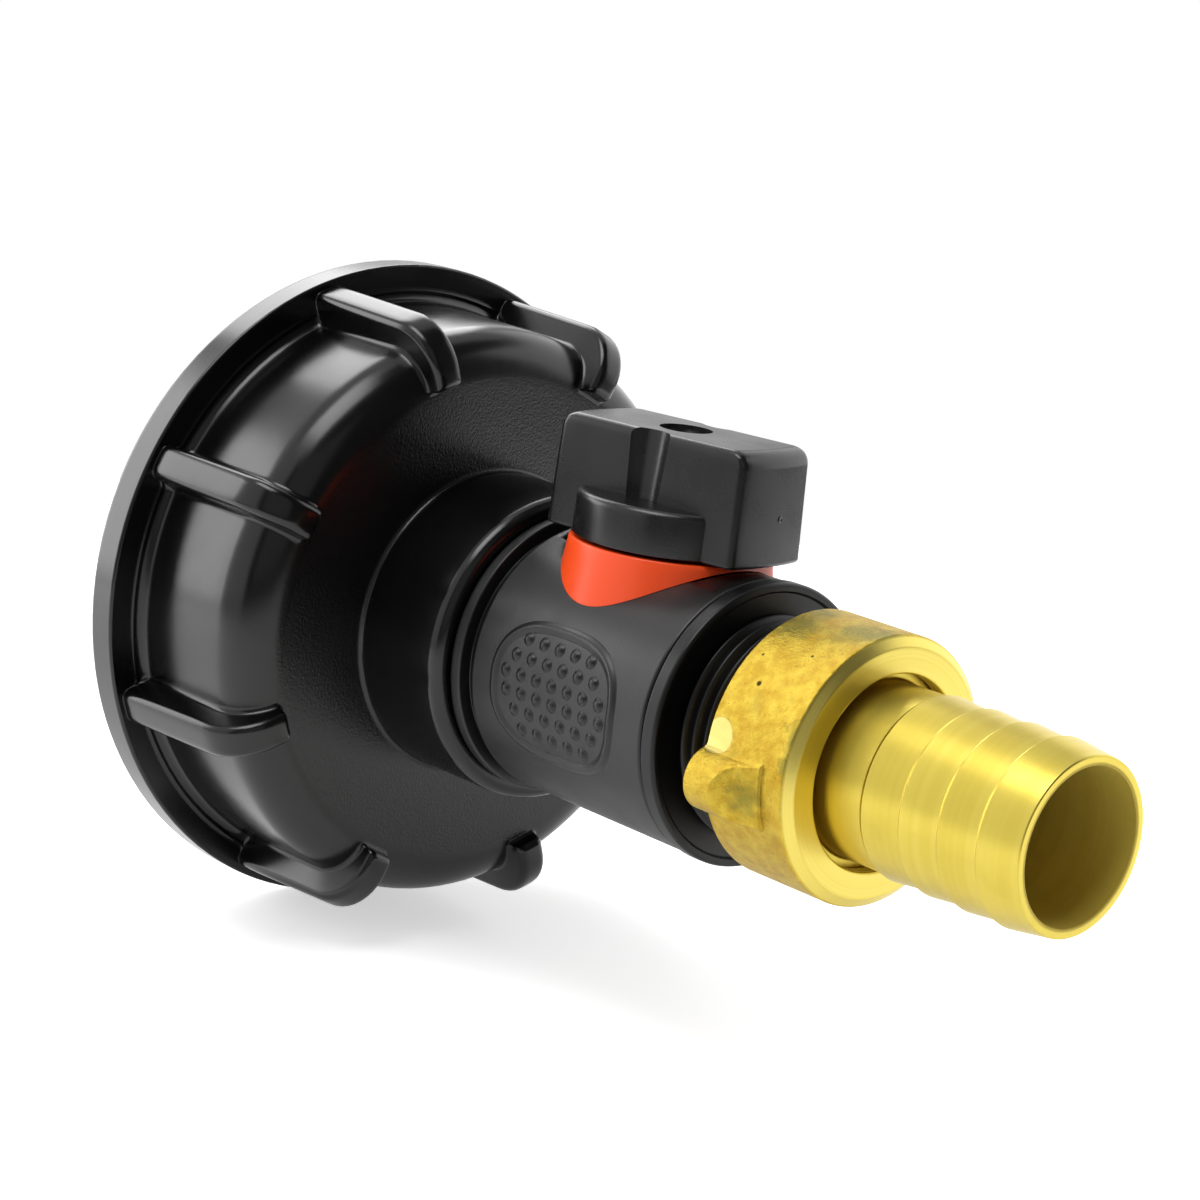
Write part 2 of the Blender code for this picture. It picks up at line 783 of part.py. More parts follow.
def handle_screw(turning):
    washer_base = handle_web_top + gap
    head_base = washer_base + spring_washer_thickness + gap
    section = [
        (head_base + screw_head_height, 0.0),
        (head_base + screw_head_height, screw_shank_radius),
        (head_base + screw_head_height - screw_crown_height, screw_head_radius),
        (head_base, screw_head_radius),
        (head_base, screw_shank_radius),
        (screw_tip, screw_shank_radius),
        (screw_tip, 0.0),
    ]
    turned("handle_screw", section, steel, "Z", turning, 24)
    ring(
        "spring_washer",
        washer_base,
        spring_washer_thickness,
        screw_hole_radius,
        screw_head_radius,
        steel,
        "Z",
        turning,
        24,
    )


# The outlet end piece screws into the barrel and carries the hose thread
def outlet_piece():
    groove_half = end_ring_wire + groove_slack
    groove_radius = end_sleeve_radius - 2 * end_ring_wire - gap
    section = [
        (outlet_end, bore_radius),
        (outlet_end, pipe_thread_radius - spigot_lead),
        (outlet_end - spigot_lead, pipe_thread_radius),
        (thread_relief_end, pipe_thread_radius),
        (thread_relief_end, thread_relief_radius),
        (end_flange_front, thread_relief_radius),
        *arc(end_flange_front - barrel_edge, end_flange_radius - barrel_edge, barrel_edge, 0, 90, 1),
        *arc(end_flange_start + barrel_edge, end_flange_radius - barrel_edge, barrel_edge, 90, 180, 1),
        (end_flange_start, end_sleeve_radius),
        (end_ring_x + groove_half, end_sleeve_radius),
        (end_ring_x + groove_half, groove_radius),
        (end_ring_x - groove_half, groove_radius),
        (end_ring_x - groove_half, end_sleeve_radius),
        (end_sleeve_start, end_sleeve_radius),
        (end_sleeve_start, bore_radius),
    ]
    turned("outlet_piece", section, black_plastic)
    major = groove_radius + end_ring_wire + groove_slack
    o_ring("body_ring", end_ring_x, major, end_ring_wire, seal_rubber)


# Brass nut: cast body, wing lugs and a turned front
def lug_facets(side):
    """Cuts a lug's front end down in two slopes to a low toe."""
    tip = lug_centre + lug_radius + gap
    step_x = lug_end - lug_step_length
    outline = [
        (lug_end + gap, nut_radius + lug_toe_height),
        (lug_end + gap, tip),
        (step_x - lug_facet_length, tip),
        (step_x, nut_radius + lug_step_height),
    ]
    item = plate("lug_facets", [(x, side * y) for x, y in outline], 2 * lug_radius)
    return place(item, None)


def nut(turning):
    section = [
        (nut_front, nut_hole_radius),
        (nut_front, nut_radius - nut_chamfer_depth),
        (nut_front - nut_chamfer_length, nut_radius),
        (nut_back + barrel_edge, nut_radius),
        (nut_back, nut_radius - barrel_edge),
        (nut_back, nut_bore_radius),
        (nut_shoulder, nut_bore_radius),
        (nut_shoulder, nut_hole_radius),
    ]
    body = turned("nut", section, brass_cast, parent=turning)
    for side in (-1.0, 1.0):
        lug = rod("nut_lug", lug_radius, nut_back, lug_end, across=(side * lug_centre, 0.0), sides=24)
        facets = lug_facets(side)
        combine(lug, "DIFFERENCE", facets)
        combine(body, "UNION", lug)
        lug.parent = turning
        facets.parent = turning
    clear = rod("nut_thread_bore", nut_bore_radius, nut_back - gap, nut_shoulder)
    combine(body, "DIFFERENCE", clear)


def hose_tail(turning):
    barbs = []
    for number in reversed(range(barb_count)):
        crest = barb_first + number * barb_pitch
        valley = barb_radius - barb_step
        end_radius = tail_tip_radius if number == barb_count - 1 else valley
        end_x = tail_tip if number == barb_count - 1 else crest + barb_pitch - barb_step
        barbs += [(end_x, end_radius), (crest, barb_radius)]
    section = [
        (tail_tip, tail_bore_radius),
        *barbs,
        (barb_first - barb_step, tail_tube_radius),
        (nut_shoulder - gap, tail_tube_radius),
        (nut_shoulder - gap, tail_flange_radius),
        (tail_flange_start, tail_flange_radius),
        (tail_flange_start, tail_bore_radius),
    ]
    turned("hose_tail", section, brass_turned, parent=turning)


def flat_seals():
    gasket_start = tank_socket_depth - gap - tank_gasket_thickness
    seal_outer = pipe_thread_radius - gap
    ring(
        "tank_gasket",
        gasket_start,
        tank_gasket_thickness,
        tank_gasket_inner,
        tank_gasket_outer,
        seal_rubber,
    )
    ring(
        "inlet_seal",
        hub_socket_floor + gap,
        inlet_seal_thickness,
        neck_radius,
        seal_outer,
        seal_rubber,
    )
    ring(
        "hose_gasket",
        outlet_end + gap,
        hose_gasket_thickness,
        hose_gasket_inner,
        hose_gasket_outer,
        seal_rubber,
    )


handle_turn = pivot("handle_turn", (stem_x, 0.0, 0.0), (0.0, 0.0, handle_rest_turn))
nut_turn = pivot("nut_turn", (0.0, 0.0, 0.0), (lug_turn, 0.0, 0.0))
tail_turn = pivot("tail_turn", (0.0, 0.0, 0.0))

cap()
valve_body()
stem_collar()
seats()
outlet_piece()
flat_seals()
ball(handle_turn)
stem(handle_turn)
handle(handle_turn)
handle_screw(handle_turn)
nut(nut_turn)
hose_tail(tail_turn)
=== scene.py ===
# Tank outlet valve: ribbed screw cap, small ball valve with a T handle, union nut and hose tail.
# The pipe axis is world X, from the cap's open rim at x = 0 to the hose end; the stem stands on Z.
import math

import bmesh
import bpy
import numpy as np
from mathutils import Matrix, Vector


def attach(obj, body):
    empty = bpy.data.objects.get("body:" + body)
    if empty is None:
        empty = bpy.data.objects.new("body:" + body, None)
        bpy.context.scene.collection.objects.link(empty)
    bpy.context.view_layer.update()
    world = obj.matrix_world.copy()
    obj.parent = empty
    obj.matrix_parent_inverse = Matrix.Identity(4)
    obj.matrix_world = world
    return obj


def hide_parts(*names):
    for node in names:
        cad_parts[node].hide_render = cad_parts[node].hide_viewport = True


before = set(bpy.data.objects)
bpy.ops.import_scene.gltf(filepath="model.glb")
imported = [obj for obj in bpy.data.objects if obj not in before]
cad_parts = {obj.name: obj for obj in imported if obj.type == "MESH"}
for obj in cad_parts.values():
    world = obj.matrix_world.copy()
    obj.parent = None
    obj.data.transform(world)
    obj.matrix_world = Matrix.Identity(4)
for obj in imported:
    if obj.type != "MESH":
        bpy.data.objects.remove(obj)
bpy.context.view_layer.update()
mm = 0.001
print("frame loaded")


# small tools
def linearColour(code):  # sRGB hex to linear, with alpha
    channels = [int(code[i : i + 2], 16) / 255 for i in (0, 2, 4)]
    return [c / 12.92 if c <= 0.04045 else ((c + 0.055) / 1.055) ** 2.4 for c in channels] + [1.0]


def addNode(tree, kind, settings=None, links=None):
    node = tree.nodes.new(kind)
    for key, value in (settings or {}).items():
        setattr(node, key, value)
    for name, value in (links or {}).items():
        if isinstance(value, bpy.types.NodeSocket):
            tree.links.new(value, node.inputs[name])
        else:
            node.inputs[name].default_value = value
    return node


def mathNode(tree, operation, *values):
    return addNode(tree, "ShaderNodeMath", {"operation": operation}, dict(enumerate(values))).outputs[0]


def product(tree, first, second):
    return mathNode(tree, "MULTIPLY", first, second)


def vectorMath(tree, operation, links, output=0):
    return addNode(tree, "ShaderNodeVectorMath", {"operation": operation}, links).outputs[output]


def mixedValue(tree, share, low, high):
    return addNode(tree, "ShaderNodeMix", links={0: share, 2: low, 3: high}).outputs[0]


def roundedSection(corners, stepDegrees=14.0):
    # closed section: each corner is (along, radius, rounding), all in mm
    points = []
    count = len(corners)
    for i, (x, r, rounding) in enumerate(corners):
        here = np.array([x, r], float)
        before = np.array(corners[i - 1][:2], float) - here
        after = np.array(corners[(i + 1) % count][:2], float) - here
        lengthBefore, lengthAfter = np.linalg.norm(before), np.linalg.norm(after)
        before, after = before / lengthBefore, after / lengthAfter
        bend = math.pi - math.acos(float(np.clip(before @ after, -1, 1)))
        if rounding <= 0 or bend < 0.02:
            points.append(here)
            continue
        reach = min(rounding * math.tan(bend / 2), 0.49 * lengthBefore, 0.49 * lengthAfter)
        rounding = reach / math.tan(bend / 2)
        middle = before + after
        centre = here + middle / np.linalg.norm(middle) * rounding / math.cos(bend / 2)
        start, end = here + before * reach - centre, here + after * reach - centre
        steps = max(2, math.ceil(math.degrees(bend) / stepDegrees))
        for k in range(steps + 1):
            turn = bend * k / steps
            share = math.sin(bend - turn) * start + math.sin(turn) * end
            points.append(centre + share / math.sin(bend))
    return np.array(points)


def holdFlats(points, edge=0.07, shortest=0.35):
    # extra points close to both ends of each straight run keep its shading flat
    held = []
    for a, b in zip(points, np.roll(points, -1, axis=0)):
        length = np.linalg.norm(b - a)
        held.append(a)
        if length > shortest:
            held += [a + (b - a) * edge / length, b - (b - a) * edge / length]
    return np.array(held)


def linkedObject(name, data):
    item = bpy.data.objects.new(name, data)
    bpy.context.scene.collection.objects.link(item)
    return item


def meshObject(name, points, faces, edges=()):
    mesh = bpy.data.meshes.new(name)
    mesh.from_pydata([tuple(p) for p in np.asarray(points) * mm], edges, faces)
    return linkedObject(name, mesh)


def smoothed(item):
    for face in item.data.polygons:
        face.use_smooth = True
    return item


def tidyMesh(item, weld=0.002):
    shape = bmesh.new()
    shape.from_mesh(item.data)
    bmesh.ops.remove_doubles(shape, verts=shape.verts, dist=weld * mm)
    bmesh.ops.dissolve_degenerate(shape, edges=shape.edges, dist=weld * mm)
    bmesh.ops.recalc_face_normals(shape, faces=shape.faces)
    shape.to_mesh(item.data)
    shape.free()
    return smoothed(item)


def gridFaces(rows, columns, closeRows=True, closeColumns=True):
    faces = []
    for i in range(rows if closeRows else rows - 1):
        for j in range(columns if closeColumns else columns - 1):
            k, m = (i + 1) % rows, (j + 1) % columns
            faces.append((i * columns + j, k * columns + j, k * columns + m, i * columns + m))
    return faces


def turnedPiece(name, section, steps=160, axis="X", centre=(0.0, 0.0), closed=True):
    # section is (along, radius) in mm; centre is the axis's place across it
    turns = np.arange(steps) * 2 * math.pi / steps
    along = np.repeat(section[:, 0], steps)
    radius = np.repeat(section[:, 1], steps)
    turn = np.tile(turns, len(section))
    across, up = radius * np.cos(turn), radius * np.sin(turn)
    if axis == "X":
        points = np.stack([along, across + centre[0], up + centre[1]], 1)
    else:
        points = np.stack([across + centre[0], up + centre[1], along], 1)
    return tidyMesh(meshObject(name, points, gridFaces(len(section), steps, closed)))


def turnAbout(item, angle, axis, at=(0.0, 0.0, 0.0)):
    middle = Vector(at) * mm
    move = Matrix.Translation(middle) @ Matrix.Rotation(angle, 4, axis) @ Matrix.Translation(-middle)
    item.data.transform(move)
    return item


def booleanStep(item, tool, operation):
    step = item.modifiers.new(operation, "BOOLEAN")
    step.operation, step.object, step.solver = operation, tool, "EXACT"


def applied(item, *leftovers):
    # the evaluated object as a plain mesh, its modifiers and tools gone
    bpy.context.view_layer.update()
    made = bpy.data.meshes.new_from_object(item.evaluated_get(bpy.context.evaluated_depsgraph_get()))
    item.modifiers.clear()
    old, item.data = item.data, made
    bpy.data.meshes.remove(old)
    for tool in leftovers:
        bpy.data.objects.remove(tool, do_unlink=True)
    return item


def joined(name, items):
    shape = bmesh.new()
    for item in items:
        shape.from_mesh(item.data)
    mesh = bpy.data.meshes.new(name)
    shape.to_mesh(mesh)
    shape.free()
    for item in items:
        bpy.data.objects.remove(item, do_unlink=True)
    return smoothed(linkedObject(name, mesh))


def finishPiece(item, finish, body, node):
    item.data.materials.clear()
    item.data.materials.append(finish)
    for face in item.data.polygons:
        face.material_index = 0
    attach(item, body)
    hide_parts(node)


# materials
def newMaterial(name, colour, roughness, metallic=0.0, ior=1.5):
    material = bpy.data.materials.new(name)
    material.use_nodes = True
    shader = material.node_tree.nodes["Principled BSDF"]
    shader.inputs["Base Color"].default_value = linearColour(colour)
    shader.inputs["Roughness"].default_value = roughness
    shader.inputs["Metallic"].default_value = metallic
    shader.inputs["IOR"].default_value = ior
    return material, material.node_tree, shader


def objectPlace(tree, stretch=(1.0, 1.0, 1.0)):
    place = addNode(tree, "ShaderNodeTexCoord").outputs["Object"]
    return addNode(tree, "ShaderNodeMapping", links={"Vector": place, "Scale": stretch}).outputs[0]


def grain(tree, place, size, detail=3.0, roughness=0.55):  # size is one grain in mm
    return addNode(
        tree,
        "ShaderNodeTexNoise",
        links={"Vector": place, "Scale": 1 / (size * mm), "Detail": detail, "Roughness": roughness},
    ).outputs["Fac"]


def spread(tree, value, fromLow, fromHigh, toLow, toHigh):
    links = {"Value": value, 1: fromLow, 2: fromHigh, 3: toLow, 4: toHigh}
    return addNode(tree, "ShaderNodeMapRange", {"clamp": True}, links).outputs["Result"]


def raised(tree, height, depth, strength=1.0, below=None):  # depth in mm
    links = {"Height": height, "Distance": depth * mm, "Strength": strength}
    if below is not None:
        links["Normal"] = below
    return addNode(tree, "ShaderNodeBump", links=links).outputs["Normal"]


def distanceFromAxis(tree, place):
    split = addNode(tree, "ShaderNodeSeparateXYZ", links={0: place})
    flat = addNode(tree, "ShaderNodeCombineXYZ", links={"Y": split.outputs["Y"], "Z": split.outputs["Z"]})
    return split.outputs["X"], vectorMath(tree, "LENGTH", {0: flat.outputs[0]}, "Value")


def capPlastic():
    # injection moulded polypropylene: polished walls, a spark-eroded front face
    material, tree, shader = newMaterial("mouldedPolypropyleneCap", "070708", 0.21)
    place = objectPlace(tree)
    along, away = distanceFromAxis(tree, place)
    nearFace = spread(tree, along, 24.9 * mm, 25.15 * mm, 0.0, 1.0)
    beforeHub = spread(tree, along, 25.3 * mm, 25.7 * mm, 1.0, 0.0)
    insideRim = spread(tree, away, 30.0 * mm, 33.0 * mm, 1.0, 0.0)
    onFace = product(tree, product(tree, nearFace, beforeHub), insideRim)
    ripple = raised(tree, grain(tree, place, 3.5, 1.0), 0.012)  # slow waviness of a moulded wall
    texture = product(tree, grain(tree, place, 0.32, 2.0), onFace)
    tree.links.new(raised(tree, texture, 0.045, 1.0, ripple), shader.inputs["Normal"])
    smear = spread(tree, grain(tree, place, 9.0, 4.0), 0.3, 0.7, 0.19, 0.25)
    tree.links.new(mixedValue(tree, onFace, smear, 0.28), shader.inputs["Roughness"])
    return material


def satinPlastic(name, colour, roughness, grainSize, depth, ior=1.5):
    # moulded polypropylene with a fine matt grain off the mould
    material, tree, shader = newMaterial(name, colour, roughness, 0.0, ior)
    place = objectPlace(tree)
    fine = raised(tree, grain(tree, place, grainSize, 2.0), depth)
    tree.links.new(fine, shader.inputs["Normal"])
    smear = spread(tree, grain(tree, place, 6.0, 4.0), 0.3, 0.7, roughness - 0.04, roughness + 0.05)
    tree.links.new(smear, shader.inputs["Roughness"])
    return material


def mixedColour(tree, share, low, high):  # low and high are sRGB hex or colour sockets
    ends = [linearColour(c) if isinstance(c, str) else c for c in (low, high)]
    links = {0: share, 6: ends[0], 7: ends[1]}
    return addNode(tree, "ShaderNodeMix", {"data_type": "RGBA"}, links).outputs[2]


def patchAt(tree, place, along, turn, radius, soft=0.5):
    # a round patch on the nut's skin (olive tarnish, pits, the milled flat, and one painted shade at the
    # lug): its place along and round the axis, and its radius, in mm
    angle = math.radians(turn)
    skin = brassStainsAndShade["skinRadius"] * mm
    at = (along * mm, skin * math.cos(angle), skin * math.sin(angle))
    away = vectorMath(tree, "DISTANCE", {0: place, 1: at}, "Value")
    return spread(tree, away, radius * (1 - soft) * mm, radius * (1 + soft) * mm, 1.0, 0.0)


brassStainsAndShade = {
    "skinRadius": 15.55,
    "turnedFrom": (94.35, 94.6),
    # each is (along, degrees round, radius)
    "olive": (
        (84.6, 112.0, 2.3),
        (91.3, 103.0, 2.6),
        (94.5, 98.0, 2.2),
        (84.2, 96.0, 1.6),
        (94.9, 160.0, 1.5),
        (95.0, 173.0, 1.4),
        # painted shade: the lug's front flank facet darkened in colour, where it faces away from the light
        (89.5, 191.0, 1.9),
    ),
    "pit": ((86.5, 145.5, 0.32), (90.3, 126.0, 0.18), (84.4, 133.0, 0.16)),
    "flat": (84.0, 171.0, 2.1),
}


def castBrass(s):
    # sand cast brass as it left the mould: grainy, specked, with olive tarnish and a painted shade patch on
    # the lug's flank; its front is turned bright
    material, tree, shader = newMaterial("sandCastBrass", "d6b848", 0.36, 1.0)
    place = objectPlace(tree)
    along, away = distanceFromAxis(tree, place)
    waver = addNode(
        tree, "ShaderNodeTexNoise", links={"Vector": place, "Scale": 1 / (1.1 * mm), "Detail": 4.0}
    )
    shift = vectorMath(tree, "SUBTRACT", {0: waver.outputs["Color"], 1: (0.5, 0.5, 0.5)})
    shift = vectorMath(tree, "SCALE", {0: shift, "Scale": 4.5 * mm})
    ragged = vectorMath(tree, "ADD", {0: place, 1: shift})
    pale = spread(tree, grain(tree, place, 1.6, 4.0), 0.35, 0.65, 0.0, 1.0)
    skin = mixedColour(tree, pale, "cfb344", "b8962e")
    warm = spread(tree, grain(tree, place, 2.2, 5.0, 0.65), 0.54, 0.7, 0.0, 0.45)
    skin = mixedColour(tree, warm, skin, "b98a2c")
    cloud = spread(tree, grain(tree, place, 5.0, 5.0, 0.62), 0.58, 0.7, 0.0, 0.35)
    skin = mixedColour(tree, cloud, skin, "988a3c")
    # olive tarnish patches; the last one is painted shade on the lug's flank
    for x, turn, radius in s["olive"]:
        tarnishAndShade = product(tree, patchAt(tree, ragged, x, turn, radius), 0.75)
        skin = mixedColour(tree, tarnishAndShade, skin, "7f7a38")
    specks = spread(tree, grain(tree, place, 0.5, 4.0, 0.75), 0.6, 0.7, 0.0, 0.75)
    skin = mixedColour(tree, specks, skin, "75621f")
    for x, turn, radius in s["pit"]:
        skin = mixedColour(tree, patchAt(tree, place, x, turn, radius, 0.3), skin, "3a2c0c")
    x, turn, radius = s["flat"]
    milled = patchAt(tree, place, x, turn, radius, 0.06)
    skin = mixedColour(tree, product(tree, milled, 0.8), skin, "d6c678")
    start, full = s["turnedFrom"]
    turnedFace = spread(tree, along, start * mm, full * mm, 0.0, 1.0)
    rings = addNode(tree, "ShaderNodeCombineXYZ", links={"X": along, "Y": away}).outputs[0]
    marks = grain(tree, rings, 0.3, 3.0, 0.6)
    bright = mixedColour(tree, marks, "e0ca58", "ecd978")
    tree.links.new(mixedColour(tree, turnedFace, skin, bright), shader.inputs["Base Color"])
    worked = mathNode(tree, "MAXIMUM", turnedFace, milled)
    tree.links.new(spread(tree, worked, 0.0, 1.0, 0.4, 0.36), shader.inputs["Roughness"])
    sand = product(tree, grain(tree, place, 0.42, 4.0, 0.65), spread(tree, worked, 0.0, 1.0, 1.0, 0.05))
    lathe = product(tree, marks, turnedFace)
    tree.links.new(raised(tree, sand, 0.17, 1.0, raised(tree, lathe, 0.012)), shader.inputs["Normal"])
    return material


def turnedBrass():
    # lathe-turned brass: rings of tool marks 0.25 mm apart round the axis draw the gloss out along it
    material, tree, shader = newMaterial("turnedBrass", "d8c45a", 0.3, 1.0)
    place = objectPlace(tree)
    along, away = distanceFromAxis(tree, place)
    rings = addNode(tree, "ShaderNodeCombineXYZ", links={"X": along, "Y": away}).outputs[0]
    marks = grain(tree, rings, 0.25, 3.0, 0.65)
    tree.links.new(raised(tree, marks, 0.01), shader.inputs["Normal"])
    tint = spread(tree, grain(tree, rings, 1.6, 3.0), 0.3, 0.7, 0.0, 1.0)
    tint = mixedColour(tree, tint, "d8c45a", "ceb84c")
    handled = spread(tree, grain(tree, place, 4.0, 5.0, 0.6), 0.52, 0.72, 0.0, 0.25)
    tree.links.new(mixedColour(tree, handled, tint, "bda544"), shader.inputs["Base Color"])
    # the drilled bore is dull and oxidised
    bore = spread(tree, away, 8.95 * mm, 9.2 * mm, 1.0, 0.0)
    gloss = spread(tree, marks, 0.3, 0.7, 0.3, 0.36)
    tree.links.new(mixedValue(tree, bore, gloss, 0.7), shader.inputs["Roughness"])
    tree.links.new(spread(tree, bore, 0.0, 1.0, 1.0, 0.5), shader.inputs["Metallic"])
    return material


def turnedSteel():
    # stainless steel off the lathe, bright with faint rings
    material, tree, shader = newMaterial("turnedStainless", "c8c7c3", 0.28, 1.0)
    marks = grain(tree, objectPlace(tree, (0.02, 0.02, 1.0)), 0.2, 2.0)
    tree.links.new(raised(tree, marks, 0.006), shader.inputs["Normal"])
    tree.links.new(spread(tree, marks, 0.3, 0.7, 0.22, 0.34), shader.inputs["Roughness"])
    return material


def sealRubber():
    # moulded nitrile rubber, matt with a dusty bloom
    material, tree, shader = newMaterial("nitrileRubber", "161617", 0.62)
    place = objectPlace(tree)
    tree.links.new(raised(tree, grain(tree, place, 0.3, 3.0), 0.02), shader.inputs["Normal"])
    bloom = spread(tree, grain(tree, place, 4.0, 4.0), 0.35, 0.75, 0.52, 0.78)
    tree.links.new(bloom, shader.inputs["Roughness"])
    return material


finishes = {
    "cap": capPlastic(),
    "barrel": satinPlastic("mouldedPolypropyleneBarrel", "0c0c0d", 0.38, 0.25, 0.018),
    "handle": satinPlastic("mouldedPolypropyleneHandle", "131314", 0.28, 0.35, 0.008),
    "outlet": satinPlastic("mouldedPolypropyleneOutlet", "09090a", 0.34, 0.3, 0.012, 1.4),
    "orange": satinPlastic("orangePolypropylene", "fa4f14", 0.36, 0.3, 0.012),
    "castBrass": castBrass(brassStainsAndShade),
    "turnedBrass": turnedBrass(),
    "steel": turnedSteel(),
    "rubber": sealRubber(),
    "seat": satinPlastic("whiteSeatPlastic", "e6e4dc", 0.34, 0.3, 0.01),
}
print("materials made")


# Geometry Nodes trees
def newTree(name, sockets):
    tree = bpy.data.node_groups.new(name, "GeometryNodeTree")
    tree.interface.new_socket("Geometry", in_out="INPUT", socket_type="NodeSocketGeometry")
    tree.interface.new_socket("Geometry", in_out="OUTPUT", socket_type="NodeSocketGeometry")
    for label, kind in sockets:
        tree.interface.new_socket(label, in_out="INPUT", socket_type=kind)
    return tree, addNode(tree, "NodeGroupInput"), addNode(tree, "NodeGroupOutput")


def readField(tree, name, kind):
    return addNode(tree, "GeometryNodeInputNamedAttribute", {"data_type": kind}, {"Name": name}).outputs[0]


def copiesOn(tree, points, instance, rotation):
    links = {"Points": points, "Instance": instance, "Rotation": rotation}
    return addNode(tree, "GeometryNodeInstanceOnPoints", links=links).outputs[0]


def closeTree(tree, ending, geometry, finish):
    real = addNode(tree, "GeometryNodeRealizeInstances", links={0: geometry})
    named = addNode(tree, "GeometryNodeSetMaterial", links={0: real.outputs[0], "Material": finish})
    tree.links.new(named.outputs[0], ending.inputs[0])
    return tree


def ringOfSectors():
    # turns copies of one sector round the pipe axis and gives them their finish
    tree, start, ending = newTree(
        "ringOfSectors", [("Count", "NodeSocketInt"), ("Finish", "NodeSocketMaterial")]
    )
    count = start.outputs["Count"]
    spots = addNode(tree, "GeometryNodeMeshLine", links={"Count": count, "Offset": (0, 0, 0)})
    index = addNode(tree, "GeometryNodeInputIndex")
    share = mathNode(tree, "DIVIDE", index.outputs[0], count)
    turn = product(tree, share, 2 * math.pi)
    angles = addNode(tree, "ShaderNodeCombineXYZ", links={"X": turn})
    copies = copiesOn(tree, spots.outputs[0], start.outputs["Geometry"], angles.outputs[0])
    return closeTree(tree, ending, copies, start.outputs["Finish"])


def sweptBead():
    # sweeps a section along a path whose points carry an outward direction and a size
    tree, start, ending = newTree(
        "sweptBead", [("Section", "NodeSocketObject"), ("Finish", "NodeSocketMaterial")]
    )
    outward = readField(tree, "outward", "FLOAT_VECTOR")
    size = readField(tree, "size", "FLOAT")
    path = addNode(tree, "GeometryNodeMeshToCurve", links={0: start.outputs["Geometry"]})
    held = addNode(
        tree,
        "GeometryNodeSetCurveNormal",
        {"mode": "FREE"},
        {"Curve": path.outputs[0], "Normal": outward},
    )
    scaled = addNode(tree, "GeometryNodeSetCurveRadius", links={"Curve": held.outputs[0], "Radius": size})
    section = addNode(tree, "GeometryNodeObjectInfo", links={"Object": start.outputs["Section"]})
    line = addNode(tree, "GeometryNodeMeshToCurve", links={0: section.outputs["Geometry"]})
    swept = addNode(
        tree,
        "GeometryNodeCurveToMesh",
        links={"Curve": scaled.outputs[0], "Profile Curve": line.outputs[0], "Fill Caps": True},
    )
    return closeTree(tree, ending, swept.outputs[0], start.outputs["Finish"])


def domesOnPoints():
    # stands one dome on each point, its foot on the surface there
    tree, start, ending = newTree(
        "domesOnPoints", [("Dome", "NodeSocketObject"), ("Finish", "NodeSocketMaterial")]
    )
    outward = readField(tree, "outward", "FLOAT_VECTOR")
    dome = addNode(tree, "GeometryNodeObjectInfo", links={"Object": start.outputs["Dome"]})
    upright = addNode(tree, "FunctionNodeAlignRotationToVector", {"axis": "Z"}, {"Vector": outward})
    copies = copiesOn(tree, start.outputs["Geometry"], dome.outputs["Geometry"], upright.outputs[0])
    return closeTree(tree, ending, copies, start.outputs["Finish"])


trees = {"sectors": ringOfSectors(), "bead": sweptBead(), "domes": domesOnPoints()}


def runTree(item, tree, values, *leftovers):
    step = item.modifiers.new(tree.name, "NODES")
    step.node_group = tree
    for socket in tree.interface.items_tree:
        if socket.in_out == "INPUT" and socket.name in values:
            step[socket.identifier] = values[socket.name]
    return applied(item, *leftovers)


def pathObject(name, points, outward, sizes=None, closed=False):
    count = len(points)
    edges = [(i, i + 1) for i in range(count - 1)] + ([(count - 1, 0)] if closed else [])
    item = meshObject(name, points, [], edges)
    field = item.data.attributes.new("outward", "FLOAT_VECTOR", "POINT")
    field.data.foreach_set("vector", np.asarray(outward, float).ravel())
    width = item.data.attributes.new("size", "FLOAT", "POINT")
    width.data.foreach_set("value", np.ones(count) if sizes is None else np.asarray(sizes, float))
    return item


def sectionObject(name, corners):  # closed section in the sweep's own plane, mm
    count = len(corners)
    edges = [(i, (i + 1) % count) for i in range(count)]
    return meshObject(name, [(x, y, 0.0) for x, y in corners], [], edges)


def threadRidge(name, section, radius, startX, pitch, turns, runOut, outwardSign=1.0, perTurn=72):
    # right-handed helix round the pipe axis, its ends tapering into the wall
    count = int(turns * perTurn) + 1
    turn = np.linspace(0, turns * 2 * math.pi, count)
    x = startX + pitch * turn / (2 * math.pi)
    outward = outwardSign * np.stack([0 * turn, np.cos(turn), np.sin(turn)], 1)
    points = np.stack([x, radius * np.cos(turn), radius * np.sin(turn)], 1)
    fromEnd = np.minimum(turn, turn[-1] - turn) / (2 * math.pi)
    sizes = np.clip(fromEnd / runOut, 0.03, 1.0) ** 0.6
    path = pathObject(name, points, outward, sizes)
    profile = sectionObject(name + "Section", section)
    return tidyMesh(runTree(path, trees["bead"], {"Section": profile}, profile), 0.0005)


print("node trees made")


# cap: one 45 degree sector with its rib, turned round by Geometry Nodes
capSizes = {
    "flangeRadius": 41.9,
    "flangeThickness": 4.6,
    "wallFoot": 37.0,
    "wallTop": 36.7,
    "height": 25.2,
    "shoulder": 5.6,
    "hubRadius": 19.2,
    "hubFront": 39.9,
    "hubSocket": 13.5,
    "hubFloor": 24.6,
    "neck": 10.0,
    "socketRadius": 30.2,
    "socketDepth": 20.8,
    "ribCount": 8,
    "ribPhase": math.radians(20.2),
    "ribFoot": 41.0,
    "ribBend": 40.3,
    "ribFront": 27.3,
    "ribEnd": 31.8,
    "threadPitch": 6.0,
    "threadDepth": 1.7,
}


def arcPoints(centre, radius, start, end, steps):
    turns = np.radians(np.linspace(start, end, steps + 1))
    return [(centre[0] + radius * math.cos(a), centre[1] + radius * math.sin(a)) for a in turns]


def blendRows(a, b, steps):  # straight run of points without its first
    return [tuple(np.array(a) + (np.array(b) - np.array(a)) * k / steps) for k in range(1, steps + 1)]


